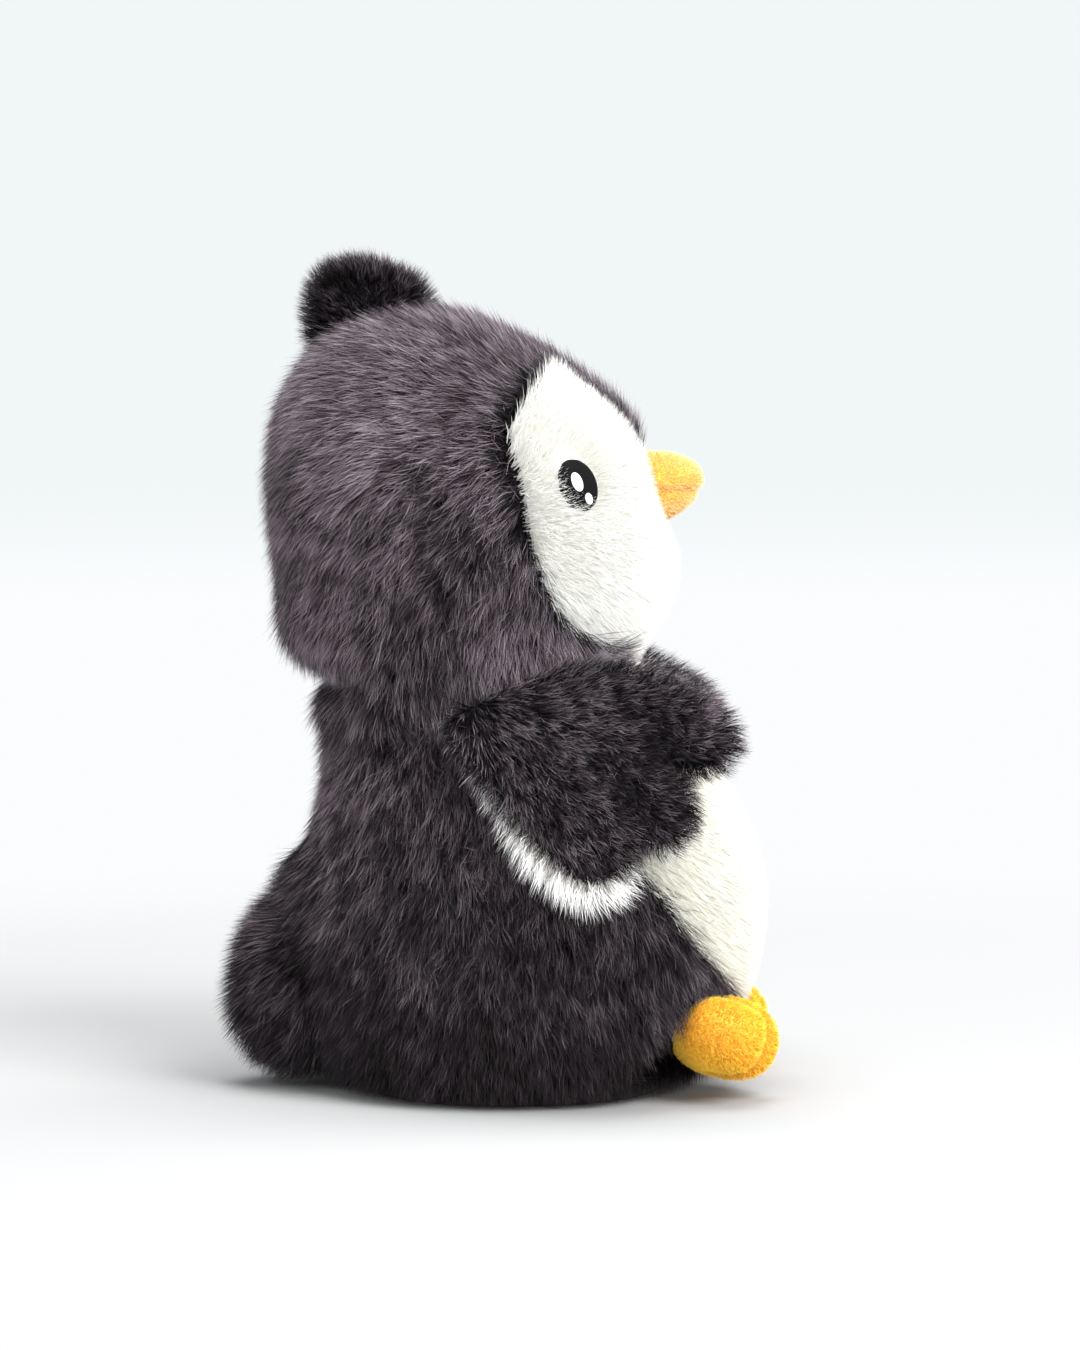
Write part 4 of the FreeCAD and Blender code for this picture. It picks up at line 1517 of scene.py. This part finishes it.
        def surface(point: Vector, out: Vector) -> Vector:
            """The eye bed's point under a point, looking in along a direction."""
            hit = tree.ray_cast((point + out * 20.0) * MM, -out)[0]
            return hit / MM

        for side in Side:
            oval = self.patch(side, (0.0, 0.0, *self.half), 0.1, 0.5, surface)
            eye = finished(oval, f"eye_{side.word}_stitched", BLACK_THREAD)
            settle(eye, "head", [f"eye_{side.word}"])
            both = bmesh.new()
            for spot in self.glints:
                glint = self.patch(side, spot, 0.6, 0.25, surface)
                mesh = bpy.data.meshes.new("glint")
                glint.to_mesh(mesh)
                glint.free()
                both.from_mesh(mesh)
                bpy.data.meshes.remove(mesh)
            pair = finished(both, f"eye_{side.word}_glints_stitched", WHITE_THREAD)
            settle(pair, "head", [f"eye_glints_{side.word}"])


EYES = Eyes()


@dataclass
class Beak:
    """The short velour beak, with a crease between its upper and lower panels."""

    sections: tuple[tuple[float, float, float, float], ...] = (
        (-20.0, 126.6, 9.0, 8.1), (-30.0, 127.0, 8.8, 7.9), (-34.0, 127.5, 7.4, 6.6),
        (-37.0, 128.0, 5.2, 4.7), (-38.6, 128.3, 3.2, 2.8), (-39.3, 128.5, 1.4, 1.2))
    pile_depth: float = 1.2
    crease_height: float = 126.2
    crease_depth: float = 0.9
    points: int = 64

    def form(self) -> bmesh.types.BMesh:
        """The stuffed cloth form under the velour.

        Returns:
            The form, with a crease along each side.
        """
        turn = np.linspace(0.0, 2.0 * math.pi, self.points, endpoint=False)
        loops = []
        for y, z, half_wide, half_tall in smooth_line(self.sections, 5):
            across, up = half_wide * np.cos(turn), z + half_tall * np.sin(turn)
            loops.append(np.stack([across, np.full(self.points, y), up], axis=1))
        form = loft(loops)
        inset(form, self.pile_depth)
        for vertex in form.verts:
            near = math.exp(-((vertex.co.z / MM - self.crease_height) / 0.9) ** 2)
            vertex.co -= vertex.normal * near * self.crease_depth * MM
        return form

    def comb(self, places: Array, _: Array) -> Array:
        """Towards the tip, up above the crease and down below it."""
        lift = 0.5 * np.sign(places[:, 2] - self.crease_height)
        return np.stack([np.zeros(len(lift)), -np.ones(len(lift)), lift], axis=1)

    def build(self) -> None:
        """Make the beak's pieces."""
        cloth = finished(self.form(), "beak_cloth_form", ORANGE_BACKING)
        for part, sign in (("upper", 1.0), ("lower", -1.0)):
            def reach(places: Array, _: Array, sign: float = sign) -> Array:
                """How far inside the upper or lower velour each point lies, in millimetres."""
                return np.minimum(sign * (places[:, 2] - self.crease_height) - 0.1, -24.0 - places[:, 1])

            grower = PileGrower(BEAK_COAT, seed=400 + int(sign))
            pile = grower.grow(f"beak_pile_{part}", cloth, reach, self.comb)
            settle(pile, "head", [f"beak_{part}_panel"])
        settle(cloth, "head", ["beak_stuffing"])


@dataclass
class Crest:
    """The upright tuft of pile on the crown."""

    outline: tuple[tuple[float, float], ...] = (
        (43.0, 153.0), (46.0, 160.0), (45.6, 168.4), (41.6, 173.6), (34.0, 174.6), (25.6, 172.6),
        (19.0, 169.0), (16.4, 162.4), (19.0, 154.0))
    levels: tuple[tuple[float, float], ...] = (
        (0.0, 0.68), (3.4, 0.64), (5.8, 0.52), (7.2, 0.34), (7.6, 0.10))
    base: tuple[float, float, float] = (0.0, 31.0, 153.0)
    shade: float = -0.42        # how much darker than its coat's own tint the tuft is

    def build(self) -> None:
        """Make the crest's pieces."""
        form = pillow_form(self.outline, self.levels, lambda y, z: Vector((0.0, y, z)),
                           Vector((1.0, 0.0, 0.0)))
        cloth = finished(form, "crest_cloth_form", DARK_BACKING)
        for side in Side:
            pile = PileGrower(CREST_COAT, seed=450 + 20 * int(side.value)).grow(
                f"crest_pile_{side.word}", cloth, lambda places, _, side=side: places[:, 0] * side.value,
                lambda places, _: places - np.array(self.base),
                tone=lambda places, _: np.full(len(places), self.shade))
            settle(pile, "head", [f"crest_{side.word}_panel"])
        settle(cloth, "head", ["crest_stuffing"])


@dataclass
class Tail:
    """The stubby stuffed tail on its cross hinge."""

    centre: tuple[float, float, float] = (0.0, 43.6, 23.2)
    half: tuple[float, float, float] = (12.6, 11.4, 12.6)
    pulls: tuple[Pull, ...] = (
        ((0.0, 54.0, 15.0), 10.0, (0.0, 2.2, -2.6)), ((0.0, 45.0, 10.0), 10.0, (0.0, 0.0, -2.6)),
        ((0.0, 42.0, 36.0), 12.0, (0.0, -1.0, 4.5)),
        ((-10.0, 44.0, 28.0), 9.0, (-2.5, 0.0, 2.0)), ((10.0, 44.0, 28.0), 9.0, (2.5, 0.0, 2.0)))
    hinge_height: float = 24.4
    root: float = 36.0          # the y where its pile starts

    def form(self) -> bmesh.types.BMesh:
        """The stuffed cloth form under the pile.

        Returns:
            The form, drawn out and down at its tip.
        """
        form = bmesh.new()
        bmesh.ops.create_uvsphere(form, u_segments=48, v_segments=32, radius=1.0)
        bmesh.ops.scale(form, vec=Vector(self.half) * MM, verts=form.verts)
        bmesh.ops.translate(form, vec=Vector(self.centre) * MM, verts=form.verts)
        pull(form, self.pulls)
        return form

    def comb(self, places: Array, normals: Array) -> Array:
        """Backwards and down towards the tip."""
        return np.array([0.0, 0.6, -0.8]) + 0.45 * normals

    def build(self) -> None:
        """Make the tail's pieces."""
        cloth = finished(self.form(), "tail_cloth_form", DARK_BACKING)
        for part, sign in (("top", 1.0), ("under", -1.0)):
            def reach(places: Array, _: Array, sign: float = sign) -> Array:
                """How far inside the top or under pile each point lies, in millimetres."""
                return np.minimum(sign * (places[:, 2] - self.hinge_height), places[:, 1] - self.root)

            # the pile's offset is painted shade: darker all over, most towards the tail's underside
            pile = PileGrower(DARK_COAT, seed=500 + int(sign)).grow(
                f"tail_pile_{part}", cloth, reach, self.comb,
                tone=lambda places, _: np.interp(places[:, 2], (12.0, 36.0), (-0.7, -0.5)))
            settle(pile, "tail", [f"tail_{part}_panel"])
        settle(cloth, "tail", ["tail_stuffing"])


@dataclass
class Wing:
    """One flat stuffed wing: dark outside, cream inside, with a cream fringe past its lower edge."""

    side: Side
    outline: tuple[tuple[float, float], ...] = (
        (12.8, 79.0), (10.8, 82.0), (2.0, 84.8), (-7.0, 88.0), (-16.0, 89.6), (-25.0, 88.0), (-33.8, 84.0),
        (-40.2, 79.8), (-42.0, 76.2), (-40.2, 73.0), (-35.0, 71.6), (-30.8, 71.6), (-33.0, 64.0),
        (-32.2, 58.4), (-29.2, 56.0), (-25.6, 58.0), (-22.8, 65.0), (-22.0, 55.4), (-18.4, 49.4),
        (-12.8, 48.2), (-4.6, 54.6), (3.6, 64.8), (9.8, 73.0))
    creases: tuple[tuple[float, float, float, float], ...] = (
        (-30.6, 71.0, -24.0, 80.0), (-22.4, 64.0, -14.0, 74.0))
    levels: tuple[tuple[float, float], ...] = (
        (0.0, 1.0), (1.3, 0.975), (2.1, 0.88), (2.7, 0.70), (3.0, 0.42), (3.1, 0.12))
    edge_line: tuple[tuple[float, float], ...] = (
        (16.0, 82.0), (0.0, 61.0), (-12.0, 53.0), (-20.0, 52.0), (-38.0, 58.0))
    top: float = 43.4
    flare: float = 0.37
    forward_flare: float = 0.09
    hinge_back: tuple[float, float] = (12.0, 80.0)
    shoulder: tuple[float, float] = (12.0, 88.0)

    def place(self, y: float, z: float) -> Vector:
        """Point of the wing's middle sheet at a y and a height."""
        x = self.top + self.forward_flare * (self.hinge_back[0] - y) - self.flare * (z - self.hinge_back[1])
        return Vector((self.side.value * x, y, z))

    def normal(self) -> Vector:
        """Outward normal of the wing's middle sheet."""
        return Vector((self.side.value, self.forward_flare, self.flare)).normalized()

    def outward(self, places: Array) -> Array:
        """How far outside the middle sheet each point lies."""
        start = np.array(self.place(*self.hinge_back))
        return (places - start) @ np.array(self.normal())

    def lower_edge(self, places: Array) -> Array:
        """From 0 on the wing's upper side to 1 on its rear and lower edge.

        Args:
            places: Points to measure, in millimetres.

        Returns:
            The share for each point.
        """
        heights, sides = zip(*sorted((y, z) for y, z in self.edge_line))
        under = np.interp(places[:, 1], heights, sides) - places[:, 2]
        return np.clip(0.5 + under / 6.0, 0.0, 1.0) * np.clip((76.0 - places[:, 2]) / 14.0, 0.0, 1.0)

    def in_creases(self, places: Array) -> Array:
        """From 0 to 1 in the folds between the wing's lobes.

        Args:
            places: Points to measure, in millimetres.

        Returns:
            The share for each point.
        """
        flat = places[:, 1:]
        depth = np.zeros(len(places))
        for y0, z0, y1, z1 in self.creases:
            start, run = np.array([y0, z0]), np.array([y1 - y0, z1 - z0])
            share = np.clip((flat - start) @ run / (run @ run), 0.0, 1.0)
            gap = np.linalg.norm(flat - start - share[:, None] * run, axis=1)
            depth = np.maximum(depth, (1.0 - share) ** 0.5 * np.exp(-(gap / 2.4) ** 2))
        return depth

    def comb(self, places: Array, normals: Array) -> Array:
        """From the shoulder out to the tips, spreading at the edge.

        Args:
            places: Points to measure, in millimetres.
            normals: The form's normals there.

        Returns:
            The combed direction at each point.
        """
        flow = places - np.array([0.0, self.shoulder[0], self.shoulder[1]])
        flow[:, 0] = 0.0
        return unit(flow) + 0.25 * normals

    def build(self) -> None:
        """Make the wing's pieces."""
        body = f"wing_{self.side.word}"
        form = pillow_form(self.outline, self.levels, self.place, self.normal())
        cloth = finished(form, f"{body}_cloth_form", DARK_BACKING)

        def seam(places: Array) -> Array:
            """How far on the outer side of the wing's seam each point lies, in millimetres."""
            return self.outward(places) + 1.6 - 2.4 * self.lower_edge(places)

        # the outer pile's offset is painted shade: darker all over, darkest in the folds between the lobes
        outer = PileGrower(WING_COAT, seed=560 + 20 * int(self.side.value)).grow(
            f"{body}_outer_pile", cloth, lambda places, _: seam(places), self.comb,
            lambda places, _: 1.0 - 0.15 * self.lower_edge(places) - 0.45 * self.in_creases(places),
            lambda places, _: -0.2 - 0.5 * self.in_creases(places))
        settle(outer, body, [f"{body}_outer_panel"])
        inner = PileGrower(FRINGE_COAT, seed=610 + 20 * int(self.side.value)).grow(
            f"{body}_inner_pile", cloth, lambda places, _: -seam(places), self.comb,
            lambda places, _: 0.55 + 0.5 * self.lower_edge(places))
        settle(inner, body, [f"{body}_inner_panel"])
        settle(cloth, body, [f"{body}_stuffing"])


@dataclass
class Foot:
    """One stuffed velour foot with three toes."""

    side: Side
    outline: tuple[tuple[float, float], ...] = (
        (13.8, -32.0), (10.6, -38.0), (9.8, -45.0), (12.0, -49.6), (15.4, -50.8), (18.4, -48.6),
        (19.6, -45.4), (21.4, -49.8), (25.0, -53.0), (28.4, -50.6), (29.8, -45.4), (33.0, -49.6),
        (37.6, -47.8), (39.6, -42.8), (38.2, -37.2), (34.4, -34.0), (28.0, -32.6), (20.0, -32.0))
    levels: tuple[tuple[float, float], ...] = ((0.0, 1.0), (2.6, 0.95), (4.7, 0.84), (6.3, 0.66), (7.3, 0.45),
                                               (7.8, 0.22), (7.9, 0.06))
    creases: tuple[tuple[float, float, float, float], ...] = (
        (30.0, -47.0, 27.0, -38.0), (19.6, -47.0, 20.6, -38.5))
    crease_depth: float = 2.6
    hinge: tuple[float, float, float] = (22.0, -33.0, 15.0)
    banks: tuple[float, float] = (0.04, 0.2)    # how far its outer side rises, on the left and the right
    pitches: tuple[float, float] = (0.3, 0.25)  # how far its toes drop

    @property
    def bank(self) -> float:
        """How far this foot's outer side rises."""
        return self.banks[0] if self.side is Side.LEFT else self.banks[1]

    @property
    def pitch(self) -> float:
        """How far this foot's toes drop."""
        return self.pitches[0] if self.side is Side.LEFT else self.pitches[1]

    def place(self, x: float, y: float) -> Vector:
        """Point of the foot's middle sheet."""
        z = self.hinge[2] + self.bank * (x - self.hinge[0]) + self.pitch * (y - self.hinge[1])
        return Vector((self.side.value * x, y, z))

    def normal(self) -> Vector:
        """Upward normal of the foot's middle sheet."""
        return Vector((-self.bank * self.side.value, -self.pitch, 1.0)).normalized()

    def upward(self, places: Array) -> Array:
        """How far above the middle sheet each point lies."""
        start = np.array(self.place(self.hinge[0], self.hinge[1]))
        return (places - start) @ np.array(self.normal())

    def press_creases(self, form: bmesh.types.BMesh) -> None:
        """Sink the form along the stitched lines between the toes.

        Args:
            form: The form to change.
        """
        normal = self.normal()
        for vertex in form.verts:
            spot = vertex.co / MM
            rise = (spot - self.place(self.hinge[0], self.hinge[1])).dot(normal)
            flat = np.array([spot.x * self.side.value, spot.y])
            for x0, y0, x1, y1 in self.creases:
                start, run = np.array([x0, y0]), np.array([x1 - x0, y1 - y0])
                share = float(np.clip((flat - start) @ run / (run @ run), 0.0, 1.0))
                gap = float(np.linalg.norm(flat - start - share * run))
                sink = self.crease_depth * (1.0 - share) ** 0.5 * math.exp(-(gap / 2.0) ** 2)
                vertex.co -= normal * min(1.0, max(-1.0, rise / 3.0)) * sink * MM

    def build(self) -> None:
        """Make the foot's pieces."""
        body = f"foot_{self.side.word}"
        form = pillow_form(self.outline, self.levels, self.place, self.normal())
        self.press_creases(form)
        cloth = finished(form, f"{body}_cloth_form", ORANGE_BACKING)
        for part, sign in (("top", 1.0), ("sole", -1.0)):
            pile = PileGrower(VELOUR_COAT, seed=700 + 20 * int(self.side.value) + int(sign)).grow(
                f"{body}_{part}_pile", cloth, lambda places, _, sign=sign: sign * self.upward(places) + 0.1,
                lambda places, normals: np.array([0.0, -1.0, -0.2]) + 0.2 * normals)
            settle(pile, body, [f"{body}_{part}_panel"])
        settle(cloth, body, [f"{body}_stuffing"])


@dataclass
class Studio:
    """The pale floor, the soft lights and the camera."""

    target: tuple[float, float, float] = (0.0, -4.24, 87.0)
    distance: float = 1000.0
    elevation: float = 3.0
    lens: float = 125.9
    sky: float = 0.43           # how strongly the pale sky lights the scene
    sky_tint: tuple[float, ...] = (0.95, 0.98, 1.0, 1.0)
    backdrop: tuple[float, ...] = (0.885, 0.925, 0.93, 1.0)     # the sky as the camera sees it
    floor_shade: tuple[float, float, float] = (0.40, 0.402, 0.404)
    floor_glow: tuple[float, ...] = (0.965, 0.98, 1.0, 1.0)
    floor_size: float = 14.0                                    # its radius in metres
    glow_start: tuple[float, float] = (0.13, 0.5)               # metres out, where its glow comes in
    horizon: tuple[float, float] = (0.36, 0.075)                # 1 / metres out, where it fades to the sky
    film: float = 36.0
    aim: tuple[float, float, float] = (0.0, 0.0, 0.09)          # in metres, as the lamps
    lamps: tuple[tuple[str, tuple[float, float, float], float, float], ...] = (     # name, place, size, watts
        ("key", (-1.0, -0.8, 1.1), 0.9, 34.0), ("fill", (-0.9, 1.2, 0.8), 1.2, 6.0),
        ("top", (0.0, 0.0, 1.5), 1.1, 29.0), ("front", (-1.7, -0.4, 0.4), 1.2, 14.0),
        ("left", (0.9, -1.5, 0.6), 1.2, 14.0))

    def build(self) -> None:
        """Set up everything round the penguin."""
        self.build_floor()
        self.build_lights()
        self.build_camera()

    def build_floor(self) -> None:
        """A pale floor that runs on to the horizon."""
        ground = bmesh.new()
        bmesh.ops.create_circle(ground, segments=96, radius=self.floor_size, cap_ends=True)
        bmesh.ops.recalc_face_normals(ground, faces=ground.faces)
        mesh = bpy.data.meshes.new("studio_floor")
        ground.to_mesh(mesh)
        ground.free()
        mesh.shade_smooth()
        material = bpy.data.materials.new("white paper")
        material.use_nodes = True
        shader = material.node_tree.nodes["Principled BSDF"]
        sketch = Sketch(material.node_tree)
        spot = sketch.add("ShaderNodeTexCoord").outputs["Object"]
        away = sketch.add("ShaderNodeVectorMath", {0: spot}, operation="LENGTH").outputs["Value"]
        near, far = self.glow_start
        lit = sketch.add("ShaderNodeMapRange", {"Value": away, "From Min": near, "From Max": far},
                         interpolation_type="SMOOTHSTEP").outputs[0]
        sight = sketch.add("ShaderNodeLightPath").outputs["Is Camera Ray"]
        glow = sketch.math("MULTIPLY", lit, sight)
        shade = sketch.mixed(glow, (*self.floor_shade, 1.0), (0.0, 0.0, 0.0, 1.0))
        sketch.feed(shader, "Base Color", shade)
        nearness = sketch.math("DIVIDE", 1.0, away)
        start, end = self.horizon
        remote = sketch.add("ShaderNodeMapRange", {"Value": nearness, "From Min": start, "From Max": end},
                            interpolation_type="SMOOTHSTEP").outputs[0]
        sketch.feed(shader, "Emission Color", sketch.mixed(remote, self.floor_glow, self.backdrop))
        sketch.feed(shader, "Emission Strength", glow)
        shader.inputs["Roughness"].default_value = 0.8
        shader.inputs["Specular IOR Level"].default_value = 0.0
        mesh.materials.append(material)
        floor = bpy.data.objects.new("studio_floor", mesh)
        bpy.context.scene.collection.objects.link(floor)
        floor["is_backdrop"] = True

    def build_lights(self) -> None:
        """Five soft lamps round the penguin, and an even pale sky."""
        world = bpy.data.worlds.new("studio")
        bpy.context.scene.world = world
        world.use_nodes = True
        sketch = Sketch(world.node_tree)
        glow = world.node_tree.nodes["Background"]
        glow.inputs["Color"].default_value = self.sky_tint
        glow.inputs["Strength"].default_value = self.sky
        seen = sketch.add("ShaderNodeBackground", {"Color": self.backdrop})
        sight = sketch.add("ShaderNodeLightPath").outputs["Is Camera Ray"]
        both = sketch.add("ShaderNodeMixShader", {0: sight, 1: glow.outputs[0], 2: seen.outputs[0]})
        sketch.feed(world.node_tree.nodes["World Output"], "Surface", both.outputs[0])
        for name, place, size, power in self.lamps:
            data = bpy.data.lights.new(name, "AREA")
            data.energy = power
            data.size = size
            lamp = bpy.data.objects.new(name, data)
            lamp.location = place
            aim = Vector(self.aim) - Vector(place)
            lamp.rotation_euler = aim.to_track_quat("-Z", "Y").to_euler()
            bpy.context.scene.collection.objects.link(lamp)

    def build_camera(self) -> None:
        """The camera on the penguin's right side, a little above it."""
        data = bpy.data.cameras.new("camera")
        data.lens = self.lens
        data.sensor_width = self.film
        data.sensor_height = self.film
        data.sensor_fit = "VERTICAL"
        data.clip_start, data.clip_end = 0.01, 20.0
        camera = bpy.data.objects.new("camera", data)
        lift = math.radians(self.elevation)
        target = Vector(self.target) * MM
        camera.location = target + Vector((-math.cos(lift), 0.0, math.sin(lift))) * self.distance * MM
        camera.rotation_euler = (target - camera.location).to_track_quat("-Z", "Y").to_euler()
        bpy.context.scene.collection.objects.link(camera)
        bpy.context.scene.camera = camera


def dress_hidden_nodes() -> None:
    """Give the bean bag inside the seat its own finishes."""
    for node, finish in (("pellet_pouch", POUCH_COTTON), ("pellet_fill", PELLETS)):
        mesh = frame["nodes"][node].data
        mesh.materials.clear()
        mesh.materials.append(finish.material())
        log.info("%s: kept, in %s", node, finish.name)


def clear_strands() -> None:
    """Remove the single strands that the coats were sown from."""
    for group in list(bpy.data.collections):
        if group.name.startswith("strands of "):
            for strand in list(group.objects):
                bpy.data.objects.remove(strand)
            bpy.data.collections.remove(group)


def main() -> None:
    """Build the penguin piece by piece, then the studio round it."""
    logging.basicConfig(level=logging.INFO, format="%(message)s")
    bpy.context.scene.view_settings.view_transform = "Standard"
    head = Head()
    Torso().build()
    head.build()
    EYES.build(head)
    Beak().build()
    Crest().build()
    Tail().build()
    for side in Side:
        Wing(side).build()
        Foot(side).build()
    dress_hidden_nodes()
    clear_strands()
    Studio().build()
    total = sum(len(piece.data.loop_triangles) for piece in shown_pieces() if piece.type == "MESH")
    log.info("the whole penguin: %d triangles", total)


if __name__ == "__main__":
    main()
